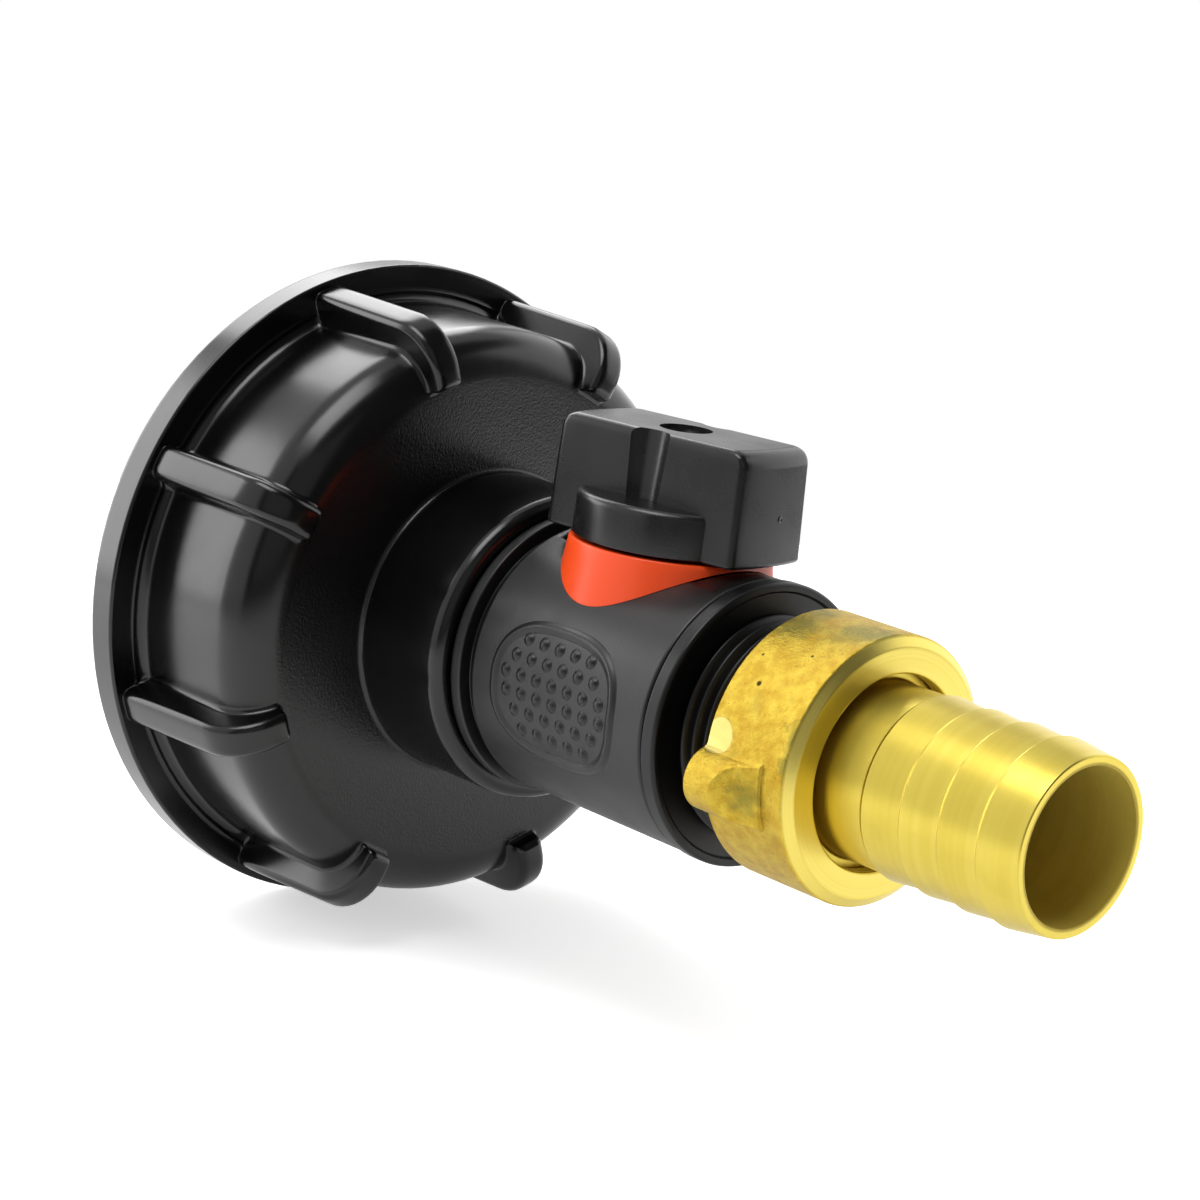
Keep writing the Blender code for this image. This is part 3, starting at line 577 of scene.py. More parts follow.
def capRows(s):
    # the wall's own line and the rib's top line, row by row
    foot = (s["flangeThickness"], s["flangeRadius"] - 0.7)
    coveTop = s["wallFoot"] + 1.4
    wall = [foot]
    wall += blendRows(foot, (foot[0], coveTop + 0.25), 5)
    wall += [(foot[0] + 0.13, coveTop + 0.11), (foot[0] + 0.01, coveTop)]
    ribs = [foot]
    ribs += blendRows(foot, (foot[0], s["ribFoot"] + 0.02), 5)
    ribs += [(foot[0] + 0.12, s["ribFoot"] + 0.01), (foot[0] + 0.3, s["ribFoot"])]
    cove = arcPoints((foot[0] + 1.4, coveTop), 1.4, 180, 270, 6)[1:]
    wall += cove
    ribs += [(x, s["ribFoot"] - 0.02) for x, r in cove]
    wallEnd = (s["height"] - s["shoulder"], s["wallTop"])
    bend = (s["ribFront"] - 6.5, s["ribBend"] - 6.5)
    wall += blendRows(wall[-1], wallEnd, 8)
    ribs += blendRows(ribs[-1], (bend[0], s["ribBend"]), 8)
    centre = (wallEnd[0], wallEnd[1] - s["shoulder"])
    wall += arcPoints(centre, s["shoulder"], 90, 24, 10)[1:]
    ribs += arcPoints(bend, 6.5, 90, 0, 10)[1:]
    tipEdge = s["ribEnd"] + 0.9
    wall += arcPoints(centre, s["shoulder"], 24, 17, 3)[1:]
    ribs += blendRows(ribs[-1], (s["ribFront"], tipEdge), 3)
    wall += arcPoints(centre, s["shoulder"], 17, 10, 5)[1:]
    ribs += arcPoints((s["ribFront"] - 0.9, tipEdge), 0.9, 0, -90, 5)[1:]
    wall += arcPoints(centre, s["shoulder"], 10, 4.6, 4)[1:]
    end = wall[-1]
    ribs += [(26.0, s["ribEnd"]), (25.55, s["ribEnd"] - 0.05), (25.3, s["ribEnd"] - 0.14), end]
    rest = arcPoints(centre, s["shoulder"], 4.6, 0, 1)[1:]
    return np.array(wall + rest), np.array(ribs + rest)


def capSector(s):
    rowsWall, rowsRib = capRows(s)
    corners = [
        (s["height"], s["wallTop"] - s["shoulder"], 0),
        (s["height"], s["hubRadius"], 0.6),
        (s["hubFront"], s["hubRadius"], 1.5),
        (s["hubFront"], s["hubSocket"], 0.25),
        (s["hubFloor"], s["hubSocket"], 0.2),
        (s["hubFloor"], s["neck"], 0.2),
        (s["socketDepth"], s["neck"], 0.4),
        (s["socketDepth"], s["socketRadius"], 0.8),
        (1.2, s["socketRadius"], 0.3),
        (0.0, s["socketRadius"] + 1.2, 0.25),
        (0.0, s["flangeRadius"], 0.8),
        (s["flangeThickness"], s["flangeRadius"], 0.7),
        (s["flangeThickness"], s["flangeRadius"] - 0.72, 0),
    ]
    plain = holdFlats(roundedSection(corners))
    plain = plain[1:-3]  # the two ends already stand in the ribbed rows
    wall = np.concatenate([rowsWall, plain])
    ribs = np.concatenate([rowsRib, plain])
    height = np.linalg.norm(ribs - wall, axis=1)
    # across the rib: its half width against the drop from its top, then the lift of its coved foot
    upper = [(0, 0), (0.7, 0), (1.1, 0.01), (1.4, 0.05), (1.65, 0.14)]
    upper += [(1.86, 0.28), (2.03, 0.47), (2.13, 0.7), (2.18, 0.95)]
    lower = [(2.26, 0.62), (2.33, 0.4), (2.46, 0.2), (2.64, 0.07), (2.9, 0.0), (3.2, 0.0)]
    outer = [0.1, 0.26, 0.44, 0.63, 0.82, 1.0]
    half = math.pi / s["ribCount"]
    columns = []
    small = np.minimum(1.0, height / 1.7)
    safe = np.maximum(height, 1e-6)
    narrow = np.interp(wall[:, 0], [19.0, 25.2], [1.0, 0.9])
    for across, drop in upper:
        columns.append((across * narrow, np.where(height > 0, 1 - drop * small / safe, 0)))
    for across, lift in lower:
        columns.append((across * narrow, np.where(height > 0, lift * small / safe, 0)))
    lines = []
    for across, share in columns:
        point = wall + (ribs - wall) * np.clip(share, 0, 1)[:, None]
        lines.append((point, np.arcsin(np.clip(across / wall[:, 1], -1, 1)), across, point[:, 1]))
    edgeTurn = lines[-1][1]
    turned = []
    for point, turn, across, radius in lines:
        # a rib keeps its width as it stands out from the wall
        turned.append((point, np.arcsin(np.clip(across / radius, -1, 1))))
    for share in outer:
        turned.append((wall, edgeTurn + (half - edgeTurn) * share))
    sides = turned[:0:-1]
    allColumns = [(p, -t) for p, t in sides] + turned
    grid = np.empty((len(wall), len(allColumns), 3))
    for j, (point, turn) in enumerate(allColumns):
        grid[:, j, 0] = point[:, 0]
        grid[:, j, 1] = point[:, 1] * np.cos(turn)
        grid[:, j, 2] = point[:, 1] * np.sin(turn)
    faces = gridFaces(len(wall), len(allColumns), True, False)
    return meshObject("cap", grid.reshape(-1, 3), faces)


def makeCap(s):
    piece = capSector(s)
    runTree(piece, trees["sectors"], {"Count": s["ribCount"], "Finish": finishes["cap"]})
    turnAbout(piece, s["ribPhase"], "X")
    tidyMesh(piece, 0.01)
    base, crest = 1.9, 0.9  # a coarse round-cornered tank thread
    depth = s["threadDepth"]
    section = [(-0.4, -base), (0.0, -base), (depth - 0.25, -crest), (depth, -crest + 0.3)]
    section += [(depth, crest - 0.3), (depth - 0.25, crest), (0.0, base), (-0.4, base)]
    ridge = threadRidge(
        "tankThread", section, s["socketRadius"], 3.2, s["threadPitch"], 2.1, 0.12, -1.0, 96
    )
    whole = joined("cap", [piece, ridge])
    finishPiece(whole, finishes["cap"], "valve", "cap")


makeCap(capSizes)
print("cap made")


# valve body: collar, groove, barrel with its grip pads, spigot and stem tower
bodySizes = {
    "stemX": 57.0,
    "spigotStart": 26.4,
    "spigot": 13.2,
    "bore": 8.6,
    "collar": 17.3,
    "collarStart": 40.2,
    "collarEnd": 41.9,
    "groove": 15.6,
    "barrelStart": 43.2,
    "barrelEnd": 73.2,
    "barrel": 16.6,
    "chamber": 14.3,
    "chamberFloor": 45.5,
    "tower": 7.0,
    "towerTop": 21.0,
    "pocket": 12.6,
    "padX": 57.7,
    "padHalfLength": 10.2,
    "padHalfHeight": 7.9,
    "padDrop": 0.4,
    "padSquareness": 2.65,
    "padRim": (0.78, 0.34),
    "dotSpacing": 2.72,
    "dotRows": (161.5, 169.0, 176.5, 184.0, 191.5, 199.5),
    "dotCounts": (5, 6, 7, 7, 6, 5),
    "dotFirst": (51.95, 50.65, 49.41, 49.8, 51.31, 52.43),
}


def makeBarrel(s):
    corners = [
        (s["spigotStart"], s["bore"], 0.2),
        (s["chamberFloor"], s["bore"], 0.2),
        (s["chamberFloor"], s["chamber"], 0.2),
        (s["barrelEnd"], s["chamber"], 0.2),
        (s["barrelEnd"], s["barrel"], 0.45),
        (s["barrelStart"], s["barrel"], 0.5),
        (s["barrelStart"], s["groove"], 0.15),
        (s["collarEnd"], s["groove"], 0.15),
        (s["collarEnd"], s["collar"], 0.25),
        (s["collarStart"], s["collar"], 0.3),
        (s["collarStart"], s["spigot"], 0.2),
        (s["spigotStart"] + 1.0, s["spigot"], 0.2),
        (s["spigotStart"], s["spigot"] - 1.0, 0.2),
    ]
    barrel = turnedPiece("valve_body", holdFlats(roundedSection(corners)), 144)
    at = (s["stemX"], 0.0)

    def upright(name, radius, low, high, steps=96):
        ring = np.array([(low, 0.0), (low, radius), (high, radius), (high, 0.0)])
        return turnedPiece(name, ring, steps, "Z", at, closed=False)

    pocket = upright("collarPocket", s["pocket"], 15.3, 25.0)
    tower = upright("stemTower", s["tower"], 14.6, s["towerTop"])
    recess = upright("washerRecess", 6.0, 11.0, 14.8)
    hole = upright("stemHole", 4.3, 11.0, 26.0)
    for tool in (pocket, tower, recess, hole):
        booleanStep(barrel, tool, "UNION" if tool is tower else "DIFFERENCE")
    applied(barrel, pocket, tower, recess, hole)
    pads = []
    for side in (-1.0, 1.0):
        pads += [padRim(s, side), padDots(s, side)]
    whole = joined("valve_body", [barrel] + pads)
    finishPiece(whole, finishes["barrel"], "valve", "valve_body")


def padRim(s, side):
    # a low rounded bead on the barrel along a squared oval
    turns = np.arange(120) * math.pi / 60
    power = 2 / s["padSquareness"]
    across = s["padHalfLength"] * np.sign(np.cos(turns)) * np.abs(np.cos(turns)) ** power
    rise = s["padHalfHeight"] * np.sign(np.sin(turns)) * np.abs(np.sin(turns)) ** power - s["padDrop"]
    step = np.hypot(np.diff(across, append=across[0]), np.diff(rise, append=rise[0]))
    walked = np.concatenate([[0.0], np.cumsum(step)])
    stops = np.linspace(0, walked[-1], 161)[:-1]
    across = np.interp(stops, walked, np.append(across, across[0]))
    rise = np.interp(stops, walked, np.append(rise, rise[0]))
    turn = rise / s["barrel"]
    outward = np.stack([0 * turn, side * np.cos(turn), np.sin(turn)], 1)
    points = outward * (s["barrel"] - 0.02)
    points[:, 0] = s["padX"] + across
    width, height = s["padRim"]
    bends = np.linspace(-math.pi, math.pi, 15)
    shape = [(height * (0.5 + 0.5 * math.cos(a)) ** 0.75, width * a / math.pi) for a in bends]
    shape += [(-0.3, width * 0.8), (-0.3, -width * 0.8)]
    profile = sectionObject("padRimSection", shape)
    rim = pathObject("padRim", points, outward, None, True)
    return tidyMesh(runTree(rim, trees["bead"], {"Section": profile}, profile), 0.0005)


def padDots(s, side):
    places, normals = [], []
    for turn, count, first in zip(s["dotRows"], s["dotCounts"], s["dotFirst"]):
        lift = math.radians(180 - turn)
        y, z = side * s["barrel"] * math.cos(lift), s["barrel"] * math.sin(lift)
        for number in range(count):
            normals.append((0.0, side * math.cos(lift), math.sin(lift)))
            places.append((first + number * s["dotSpacing"], y, z))
    profile = [(0.0, 0.86), (0.03, 0.74), (0.1, 0.64), (0.22, 0.53), (0.32, 0.4), (0.385, 0.24)]
    profile.append((0.41, 0.0))
    section = np.array([(-0.15, 0.0), (-0.15, 0.86)] + profile)
    dome = turnedPiece("gripDome", section, 14, "Z", closed=False)
    dots = pathObject("gripDots", places, normals)
    return tidyMesh(runTree(dots, trees["domes"], {"Dome": dome}, dome), 0.0005)


makeBarrel(bodySizes)
print("valve body made")


# orange collar round the stem, its foot on the barrel
collarSizes = {
    "stemX": 57.0,
    "hole": 8.2,
    "top": 12.05,
    "foot": 12.95,
    "topZ": 17.1,
    "lowZ": 10.4,
    "lift": 0.02,
    "barrel": 16.6,
}


def makeCollar(s):
    steps = 144
    turns = np.arange(steps) * 2 * math.pi / steps
    slope = (s["foot"] - s["top"]) / (s["topZ"] - s["lowZ"])
    rows = []

    def onBarrel(radius, lift):
        return np.sqrt(s["barrel"] ** 2 - (radius * np.sin(turns)) ** 2) + lift

    footRadius = np.full(steps, s["foot"])
    for _ in range(4):
        footRadius = s["top"] + slope * (s["topZ"] - onBarrel(footRadius, s["lift"]))
    footZ = onBarrel(footRadius, s["lift"])
    rows.append((np.full(steps, s["hole"]), np.full(steps, s["topZ"])))
    edge, toe = 0.22, 0.06
    for turn in np.linspace(0, math.pi / 2, 5):
        radius, z = s["top"] - edge + edge * math.sin(turn), s["topZ"] - edge + edge * math.cos(turn)
        rows.append((np.full(steps, radius), np.full(steps, z)))
    for share in (0.03, 0.3, 0.6, 0.9, 0.97):
        z = (s["topZ"] - edge) * (1 - share) + (footZ + toe) * share
        rows.append((s["top"] + slope * (s["topZ"] - z), z))
    for turn in np.linspace(0, math.pi / 2, 3):
        rows.append((footRadius - toe + toe * math.cos(turn), footZ + toe - toe * math.sin(turn)))
    rows.append((footRadius - 0.8, onBarrel(footRadius - 0.8, s["lift"])))
    rows.append((np.full(steps, s["hole"]), np.full(steps, 15.6)))
    grid = np.empty((len(rows), steps, 3))
    for i, (radius, z) in enumerate(rows):
        grid[i, :, 0] = s["stemX"] + radius * np.cos(turns)
        grid[i, :, 1] = radius * np.sin(turns)
        grid[i, :, 2] = z
    collar = tidyMesh(meshObject("stem_collar", grid.reshape(-1, 3), gridFaces(len(rows), steps)))
    finishPiece(collar, finishes["orange"], "valve", "stem_collar")


makeCollar(collarSizes)


# T handle: tapered bar with a skirt disc under it and a flute up each side
handleSizes = {
    "stemX": 57.0,
    "turn": math.radians(9.5),
    "base": 17.45,
    "top": 30.9,
    "halfLength": 14.35,
    "halfWidth": 7.1,
    "draft": 0.35,
    "endBulge": 0.7,
    "corner": 1.05,
    "sideEdge": 0.95,
    "endEdge": 1.9,
    "skirt": 11.8,
    "skirtTop": 22.8,
    "fluteAt": 8.55,
    "fluteTop": 3.4,
    "fluteFoot": 2.8,
    "hole": 3.15,
    "holeFloor": 26.8,
    "cavity": (8.2, 21.4),
    "socket": (4.9, 26.9),
    "softEdge": 0.22,
    "gateMark": (14.2, 0.9, 23.0),
}


def barOutline(s, insetEnd, insetSide, corner):
    half, length = s["halfWidth"] - insetSide, s["halfLength"] - insetEnd
    swing = (half**2 + s["endBulge"] ** 2) / (2 * s["endBulge"])
    centre = length - swing
    reach = math.asin((half - corner) / swing)
    end = [(centre + swing * math.cos(a), swing * math.sin(a)) for a in np.linspace(0, reach, 8)]
    tipX, tipY = end[-1]
    lean = math.degrees(reach)
    middle = (tipX - corner * math.cos(reach), tipY - corner * math.sin(reach))
    end += arcPoints(middle, corner, lean, 90, 6)[1:]
    quarter = end + blendRows(end[-1], (0.0, half), 6)
    upper = quarter + [(-x, y) for x, y in quarter[-2::-1]]
    return np.array(upper + [(x, -y) for x, y in upper[-2:0:-1]])


def edgeInset(height, rounding):  # how far a rounded top edge has drawn in at this height over its start
    over = min(max(height, 0.0), rounding)
    return rounding - math.sqrt(max(rounding**2 - over**2, 0.0))


def makeHandle(s):
    heights = [s["base"] + rise for rise in (0, 0.06, 0.3, 0.4)]
    lowest = [0.3, 0.12, 0.0, 0.0]
    heights += list(np.linspace(s["base"] + 1.5, s["top"] - s["endEdge"] - 0.1, 5))
    for angle in (0, 12, 24, 36, 47, 57, 65, 72, 78, 83, 87, 90):
        heights.append(s["top"] - s["endEdge"] * (1 - math.sin(math.radians(angle))))
    rings = []
    for number, z in enumerate(heights):
        foot = lowest[number] if number < len(lowest) else 0.0
        draft = s["draft"] * (z - s["base"]) / (s["top"] - s["base"])
        atEnd = edgeInset(z - s["top"] + s["endEdge"], s["endEdge"])
        atSide = edgeInset(z - s["top"] + s["sideEdge"], s["sideEdge"])
        outline = barOutline(s, foot + draft + atEnd, foot + draft + atSide, s["corner"] - 0.3 * atSide)
        rings.append(np.column_stack([outline, np.full(len(outline), z)]))
    count = len(rings[0])
    faces = gridFaces(len(rings), count, False)
    faces += [tuple(range(count)), tuple(range((len(rings) - 1) * count, len(rings) * count))]
    bar = tidyMesh(meshObject("handle", np.concatenate(rings), faces))
    low = s["base"] + 0.04
    skirt = [(low, 0, 0), (low, s["skirt"], 0.2)]
    skirt += [(s["skirtTop"], s["skirt"] - 0.1, 0.95), (s["skirtTop"], 0, 0)]
    skirt = turnedPiece("handleSkirt", roundedSection(skirt, 12), 128, "Z", closed=False)
    above = s["top"] + 0.5
    widest = s["fluteTop"] + (s["fluteTop"] - s["fluteFoot"]) * 0.5 / (s["top"] - s["skirtTop"])
    tools = []
    flute = np.array([(s["skirtTop"], 0.0), (s["skirtTop"], s["fluteFoot"]), (above, widest), (above, 0.0)])
    for side in (-1.0, 1.0):
        tools.append(turnedPiece("handleFlute", flute, 72, "Z", (0.0, side * s["fluteAt"]), closed=False))
    for tool in tools:
        booleanStep(bar, tool, "DIFFERENCE")
    booleanStep(bar, skirt, "UNION")
    cuts = (
        ("handleHole", s["holeFloor"], s["hole"], s["top"] + 1),
        ("handleCavity", 10.0, *s["cavity"]),
        ("handleSocket", 20.0, *s["socket"]),
    )
    for name, low, radius, high in cuts:
        section = np.array([(low, 0.0), (low, radius), (high, radius), (high, 0.0)])
        tool = turnedPiece(name, section, 64, "Z", closed=False)
        tools.append(tool)
        booleanStep(bar, tool, "DIFFERENCE")
    mark = np.array([(-0.2, 0.0), (-0.2, 0.42), (0.04, 0.4), (0.1, 0.28), (0.06, 0.14), (0.0, 0.0)])
    mark = mark + np.array([(s["gateMark"][0], 0.0)])
    mark = turnedPiece("gateMark", mark, 16, "X", s["gateMark"][1:], closed=False)
    booleanStep(bar, mark, "UNION")
    applied(bar, skirt, mark, *tools)
    tidyMesh(bar)
    soft = bar.modifiers.new("Soft edges", "BEVEL")
    soft.width, soft.segments, soft.limit_method = s["softEdge"] * mm, 2, "ANGLE"
    soft.angle_limit = math.radians(40)
    soft.harden_normals = True
    applied(bar)
    bar.data.transform(Matrix.Translation((s["stemX"] * mm, 0, 0)) @ Matrix.Rotation(s["turn"], 4, "Z"))
    finishPiece(bar, finishes["handle"], "handle", "handle")


makeHandle(handleSizes)
print("collar and handle made")


# outlet piece: end band, relief and the 3/4 inch male pipe thread
outletSizes = {
    "start": 69.3,
    "flangeStart": 73.5,
    "flangeEnd": 75.6,
    "flange": 16.8,
    "relief": 12.3,
    "reliefEnd": 76.2,
    "end": 88.9,
    "root": 12.04,
    "pitch": 1.814,
    "threadStart": 75.28,
    "threadTurns": 7.1,
    "threadDepth": 1.15,
    "bore": 8.6,
    "spigot": 14.0,
    "ringGroove": (70.25, 71.75, 12.5),
}


def makeOutlet(s):
    grooveStart, grooveEnd, grooveFloor = s["ringGroove"]
    corners = [
        (s["start"], s["bore"], 0.2),
        (s["end"], s["bore"], 0.2),
        (s["end"], 11.6, 0.3),
        (s["end"] - 0.6, s["root"], 0.2),
        (s["reliefEnd"] + 0.2, s["root"], 0.1),
        (s["reliefEnd"], s["relief"], 0.1),
        (s["flangeEnd"] - 0.35, s["relief"], 0.2),
        (s["flangeEnd"] - 0.3, 15.6, 0.1),
        (s["flangeEnd"], 15.85, 0.15),
        (s["flangeEnd"], s["flange"], 0.6),
        (s["flangeStart"], s["flange"], 0.25),
        (s["flangeStart"], s["spigot"], 0.1),
        (grooveEnd, s["spigot"], 0.1),
        (grooveEnd, grooveFloor, 0.1),
        (grooveStart, grooveFloor, 0.1),
        (grooveStart, s["spigot"], 0.1),
        (s["start"], s["spigot"], 0.3),
    ]
    tube = turnedPiece("outlet_piece", holdFlats(roundedSection(corners)), 160)
    # Whitworth form: 55 degree flanks, rounded crest and root
    half, depth = s["pitch"] / 2, s["threadDepth"]
    steps = np.linspace(-half * 0.98, half * 0.98, 15)
    section = [(depth * (0.5 + 0.5 * math.cos(math.pi * w / half)) ** 0.85, w) for w in steps]
    section = [(-0.3, steps[0])] + section + [(-0.3, steps[-1])]
    ridge = threadRidge(
        "pipeThread",
        section,
        s["root"] + 0.01,
        s["threadStart"],
        s["pitch"],
        s["threadTurns"],
        0.28,
        1.0,
        96,
    )
    whole = joined("outlet_piece", [tube, ridge])
    finishPiece(whole, finishes["outlet"], "valve", "outlet_piece")


makeOutlet(outletSizes)
print("outlet piece made")


# union nut: cast ring with two wing lugs and a turned front
nutSizes = {
    "back": 82.4,
    "front": 95.3,
    "radius": 15.55,
    "bore": 13.5,
    "hole": 11.3,
    "shoulder": 93.5,
    "chamfer": (0.95, 1.2),
    "turn": math.radians(10.0),
    "lugCentre": 15.1,
    "lugRadius": 3.6,
    "lugStops": ((80.0, 86.3, 88.4, 91.05, 91.3), (3.6, 3.3, 1.45, 0.42, 0.36)),
    "flatTurn": math.radians(161.0),
    "flatRise": (15.37, 0.045),
}


def lugColumns(s):
    # angle and lift over the skin, from the lug's middle line to the foot of its flank
    columns = []
    for bend in list(range(0, 80, 5)) + [80, 84]:
        across = s["lugRadius"] * math.sin(math.radians(bend))
        up = s["lugCentre"] + s["lugRadius"] * math.cos(math.radians(bend))
        columns.append((math.atan2(across, up), math.hypot(across, up) - s["radius"]))
    for across, lift in ((3.63, 0.32), (3.7, 0.18), (3.82, 0.08), (4.0, 0.02), (4.3, 0.0)):
        columns.append((math.asin(across / s["radius"]), lift))
    return columns


def makeNut(s):
    chamferLength, chamferDepth = s["chamfer"]
    corners = [
        (s["back"], s["bore"], 0.3),
        (s["shoulder"], s["bore"], 0.2),
        (s["shoulder"], s["hole"], 0.1),
        (s["front"], s["hole"], 0.3),
        (s["front"], s["radius"] - chamferDepth, 0.35),
        (s["front"] - chamferLength, s["radius"], 0.45),
        (s["back"], s["radius"], 0.4),
    ]
    section = roundedSection(corners)
    rows = []
    for a, b in zip(section, np.roll(section, -1, axis=0)):
        rows.append(a)
        length = np.linalg.norm(b - a)
        if abs(a[1] - s["radius"]) < 1e-6 and abs(b[1] - s["radius"]) < 1e-6:
            stops = [93.6, 92.6, 91.8, 91.4, 91.31, 91.29, 91.2, 91.0]
            stops += list(np.arange(90.7, 88.6, -0.3)) + [88.5, 88.4, 88.3]
            stops += list(np.arange(88.0, 86.4, -0.3)) + [86.3, 86.2, 85.8, 85.2, 84.6, 84.0, 83.5, 83.1]
            rows += [np.array((x, s["radius"])) for x in stops]
        elif length > 0.35:
            rows += [a + (b - a) * 0.07 / length, b - (b - a) * 0.07 / length]
    rows = np.array(rows)
    x, r = rows[:, 0], rows[:, 1]
    limit = np.interp(x, *s["lugStops"])
    skin = np.clip((r - s["bore"] - 0.5) / 1.2, 0, 1) * (x < 91.3)
    toEdge = np.minimum(1.0, np.maximum(x - s["back"], 0.0) / 0.4)
    limit = np.where(toEdge < 1, limit * (0.86 + 0.14 * np.sqrt(1 - (1 - toEdge) ** 2)), limit)
    columns = lugColumns(s)
    edge = columns[-1][0]
    columns += [(edge + (math.pi / 2 - edge) * k / 36, 0.0) for k in range(1, 37)]
    columns = [(-turn, lift) for turn, lift in columns[:0:-1]] + columns[:-1]
    grid = []
    for lug in (0.0, math.pi):
        for turn, lift in columns:
            radius = r + np.minimum(lift, limit) * skin
            away = abs(math.remainder(turn + lug - s["flatTurn"], 2 * math.pi))
            if lift <= 0 and away < 0.3:  # a milled flat beside the lug, at the back edge
                start, rise = s["flatRise"]
                flat = (start + rise * (x - s["back"])) / math.cos(away)
                radius = np.where((r > s["bore"] + 0.6) & (x < 86.0), np.minimum(radius, flat), radius)
            grid.append(np.stack([x, radius * np.cos(turn + lug), radius * np.sin(turn + lug)], 1))
    points = np.stack(grid, 1)
    nut = tidyMesh(meshObject("nut", points.reshape(-1, 3), gridFaces(len(x), len(grid))))
    turnAbout(nut, s["turn"], "X")
    even = nut.modifiers.new("Crisp lugs", "WEIGHTED_NORMAL")
    even.keep_sharp = False
    applied(nut)
    finishPiece(nut, finishes["castBrass"], "nut", "nut")


makeNut(nutSizes)
print("nut made")


# hose tail: flange under the nut, bare neck and four low barbs
tailSizes = {
    "flangeStart": 91.2,
    "flangeEnd": 93.2,
    "flange": 12.9,
    "tube": 10.25,
    "bore": 8.77,
    "tip": 122.9,
    "barbs": (101.6, 107.0, 112.4, 117.8),
}


def makeTail(s):
    corners = [
        (s["flangeStart"], s["bore"], 0.2),
        (s["tip"], s["bore"], 0.12),
        (s["tip"], 9.9, 0.18),
    ]
    crests = list(s["barbs"])[::-1]
    for number, crest in enumerate(crests):
        if number > 0:
            corners.append((crests[number - 1] - 0.42, 10.14, 0.25))
        corners.append((crest, 10.6, 0.12))
    corners += [
        (s["barbs"][0] - 0.5, s["tube"], 0.25),
        (s["flangeEnd"], s["tube"], 0.3),
        (s["flangeEnd"], s["flange"], 0.2),
        (s["flangeStart"], s["flange"], 0.2),
    ]
    tail = turnedPiece("hose_tail", holdFlats(roundedSection(corners), 0.05), 176)
    finishPiece(tail, finishes["turnedBrass"], "hose_tail", "hose_tail")


makeTail(tailSizes)

# the inner pieces stay as they are and take real finishes
innerFinishes = {
    "steel": ("ball", "stem", "handle_screw", "spring_washer"),
    "rubber": (
        "tank_gasket",
        "inlet_seal",
        "seat_ring_inlet",
        "seat_ring_outlet",
        "body_ring",
        "stem_ring_lower",
        "stem_ring_upper",
        "hose_gasket",
    ),
    "seat": ("seat_inlet", "seat_outlet", "thrust_washer"),
}
for key, names in innerFinishes.items():
    for name in names:
        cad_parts[name].data.materials.clear()
        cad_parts[name].data.materials.append(finishes[key])
print("hose tail and inner pieces made")


# pale floor, just under the cap's rim
studio = {
    "floorRadius": 0.34,
    "floorAt": (0.07, 0.01),
    "floorZ": -41.93 * mm,
    "floorGlow": (0.3, 1.2, 0.55),  # in reflections near and far, and to the camera
    "dark": 0.07,
    "edge": math.radians(3.0),
    # white panels round the object: middle, half width, bottom and top in degrees, and strength
    "panels": (
        (-152.0, 76.0, -6.0, 48.0, 0.9),
        (88.0, 41.0, -6.0, 46.0, 1.5),
        (-170.0, 100.0, 49.5, 100.0, 0.72),
        (-35.0, 28.0, 2.0, 42.0, 0.28),
    ),
    # soft boxes: name, place, target, size and power
    "lamps": (
        ("topSoftbox", (0.05, -0.25, 0.6), (0.06, 0, 0), (0.4, 0.3), 2.0),
        ("rearLeftSoftbox", (-0.2, -0.13, 0.06), (0.02, -0.03, 0), (0.18, 0.2), 0.42),
        ("rearTopSoftbox", (-0.17, 0.06, 0.19), (0.02, -0.01, 0.03), (0.2, 0.14), 0.36),
    ),
}


def makeFloor(s):
    at = (*s["floorAt"], s["floorZ"])
    bpy.ops.mesh.primitive_circle_add(vertices=96, radius=s["floorRadius"], fill_type="NGON", location=at)
    floor = bpy.context.object
    floor.name = "floor"
    material, tree, shader = newMaterial("paleFloor", "f4f4f4", 0.6)
    shader.inputs["Specular IOR Level"].default_value = 0.2
    rays = addNode(tree, "ShaderNodeLightPath")
    kinds = ("Camera", "Glossy", "Transmission")
    camera, glossy, clear = (rays.outputs[f"Is {kind} Ray"] for kind in kinds)
    shown = mathNode(tree, "MAXIMUM", mathNode(tree, "MAXIMUM", camera, glossy), clear)
    # painted glow: the floor's emission seen in reflections is made stronger towards the back, a painted
    # bright sweep that metal and gloss facing it show
    depth = addNode(tree, "ShaderNodeSeparateXYZ", links={0: objectPlace(tree)}).outputs["Y"]
    near, far, shownGlow = s["floorGlow"]
    power = spread(tree, depth, 0.06, 0.13, near, far)
    power = mixedValue(tree, camera, power, shownGlow)
    glow = addNode(tree, "ShaderNodeEmission", links={"Color": (1, 1, 1, 1), "Strength": power})
    both = addNode(tree, "ShaderNodeAddShader", links={0: shader.outputs[0], 1: glow.outputs[0]})
    seen = addNode(tree, "ShaderNodeMixShader", links={0: shown, 1: shader.outputs[0], 2: both.outputs[0]})
    tree.links.new(seen.outputs[0], tree.nodes["Material Output"].inputs["Surface"])
    floor.data.materials.append(material)


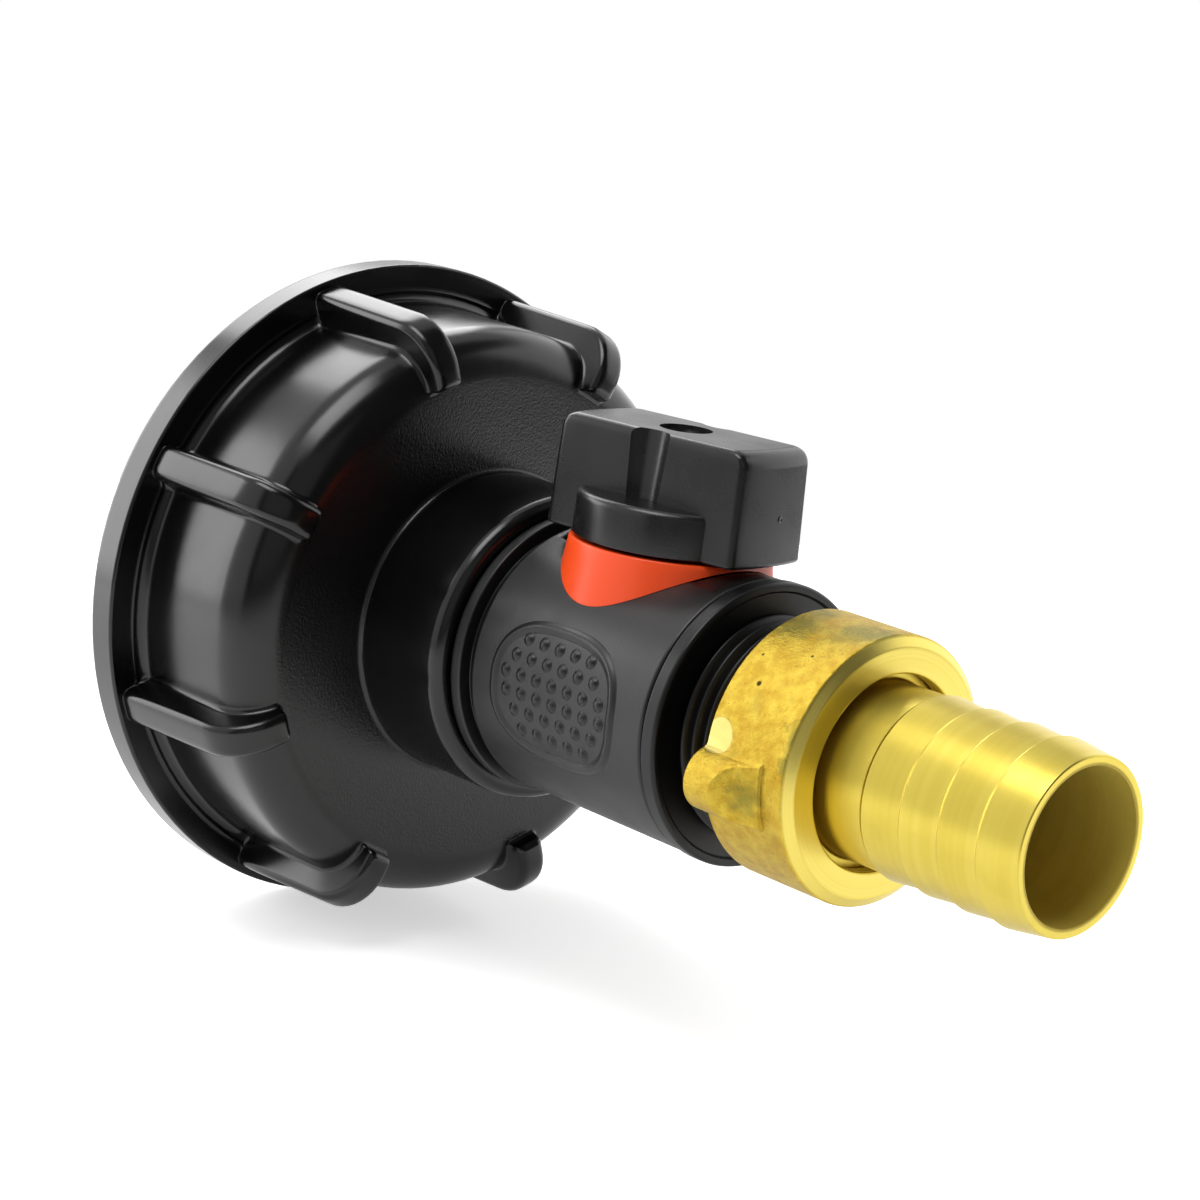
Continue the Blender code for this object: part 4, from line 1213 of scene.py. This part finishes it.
def makeWorld(s):
    # white panels behind and beside the object, and a room left dim on the camera's side
    world = bpy.data.worlds.new("studio")
    bpy.context.scene.world = world
    world.use_nodes = True
    tree = world.node_tree
    place = addNode(tree, "ShaderNodeTexCoord").outputs["Generated"]
    split = addNode(tree, "ShaderNodeSeparateXYZ", links={0: place}).outputs
    rise = mathNode(tree, "ARCSINE", split["Z"])
    turn = mathNode(tree, "ARCTAN2", split["Y"], split["X"])
    tone, edge = s["dark"], s["edge"]
    for middle, half, bottom, top, strength in s["panels"]:
        middle, half, bottom, top = (math.radians(a) for a in (middle, half, bottom, top))
        aside = mathNode(tree, "SUBTRACT", turn, middle)
        aside = mathNode(tree, "ABSOLUTE", mathNode(tree, "WRAP", aside, math.pi, -math.pi))
        across = spread(tree, aside, half - edge, half + edge, strength, 0.0)
        above = spread(tree, rise, bottom - edge / 3, bottom + edge / 3, 0.0, 1.0)
        below = spread(tree, rise, top - edge, top + edge, 1.0, 0.0)
        panel = product(tree, product(tree, across, above), below)
        tone = mathNode(tree, "ADD", panel, tone)
    rays = addNode(tree, "ShaderNodeLightPath")
    strength = mixedValue(tree, rays.outputs["Is Camera Ray"], tone, 1.0)
    back = tree.nodes["Background"]
    back.inputs["Color"].default_value = (1, 1, 1, 1)
    tree.links.new(strength, back.inputs["Strength"])


def addLamp(name, at, target, size, power):
    lamp = bpy.data.lights.new(name, "AREA")
    lamp.shape, lamp.size, lamp.size_y, lamp.energy = "RECTANGLE", size[0], size[1], power
    item = linkedObject(name, lamp)
    item.location = at
    item.rotation_euler = (Vector(target) - Vector(at)).to_track_quat("-Z", "Y").to_euler()


# placed from the photograph's vanishing lines and round edges
cameraPlace = {
    "at": (0.30761, -0.24395, 0.08219),
    "azimuth": math.radians(-43.01),
    "elevation": math.radians(11.76),
    "roll": math.radians(-7.27),
    "lens": 36.0 * 3032.4 / 1200,
}


def makeCamera(s):
    azimuth, elevation, roll = s["azimuth"], s["elevation"], s["roll"]
    level = math.cos(elevation)
    back = Vector((level * math.cos(azimuth), level * math.sin(azimuth), math.sin(elevation)))
    right = (-back).cross(Vector((0, 0, 1))).normalized()
    down = (-back).cross(right)
    tiltRight = math.cos(roll) * right + math.sin(roll) * down
    tiltDown = -math.sin(roll) * right + math.cos(roll) * down
    lens = bpy.data.cameras.new("camera")
    lens.sensor_width, lens.lens, lens.clip_start = 36.0, s["lens"], 0.01
    camera = linkedObject("camera", lens)
    facing = Matrix((tiltRight, -tiltDown, back)).transposed().to_4x4()
    camera.matrix_world = Matrix.Translation(s["at"]) @ facing
    bpy.context.scene.camera = camera


makeFloor(studio)
makeWorld(studio)
for lamp in studio["lamps"]:
    addLamp(*lamp)
makeCamera(cameraPlace)
bpy.context.scene.view_settings.view_transform = "Standard"
print("studio made")
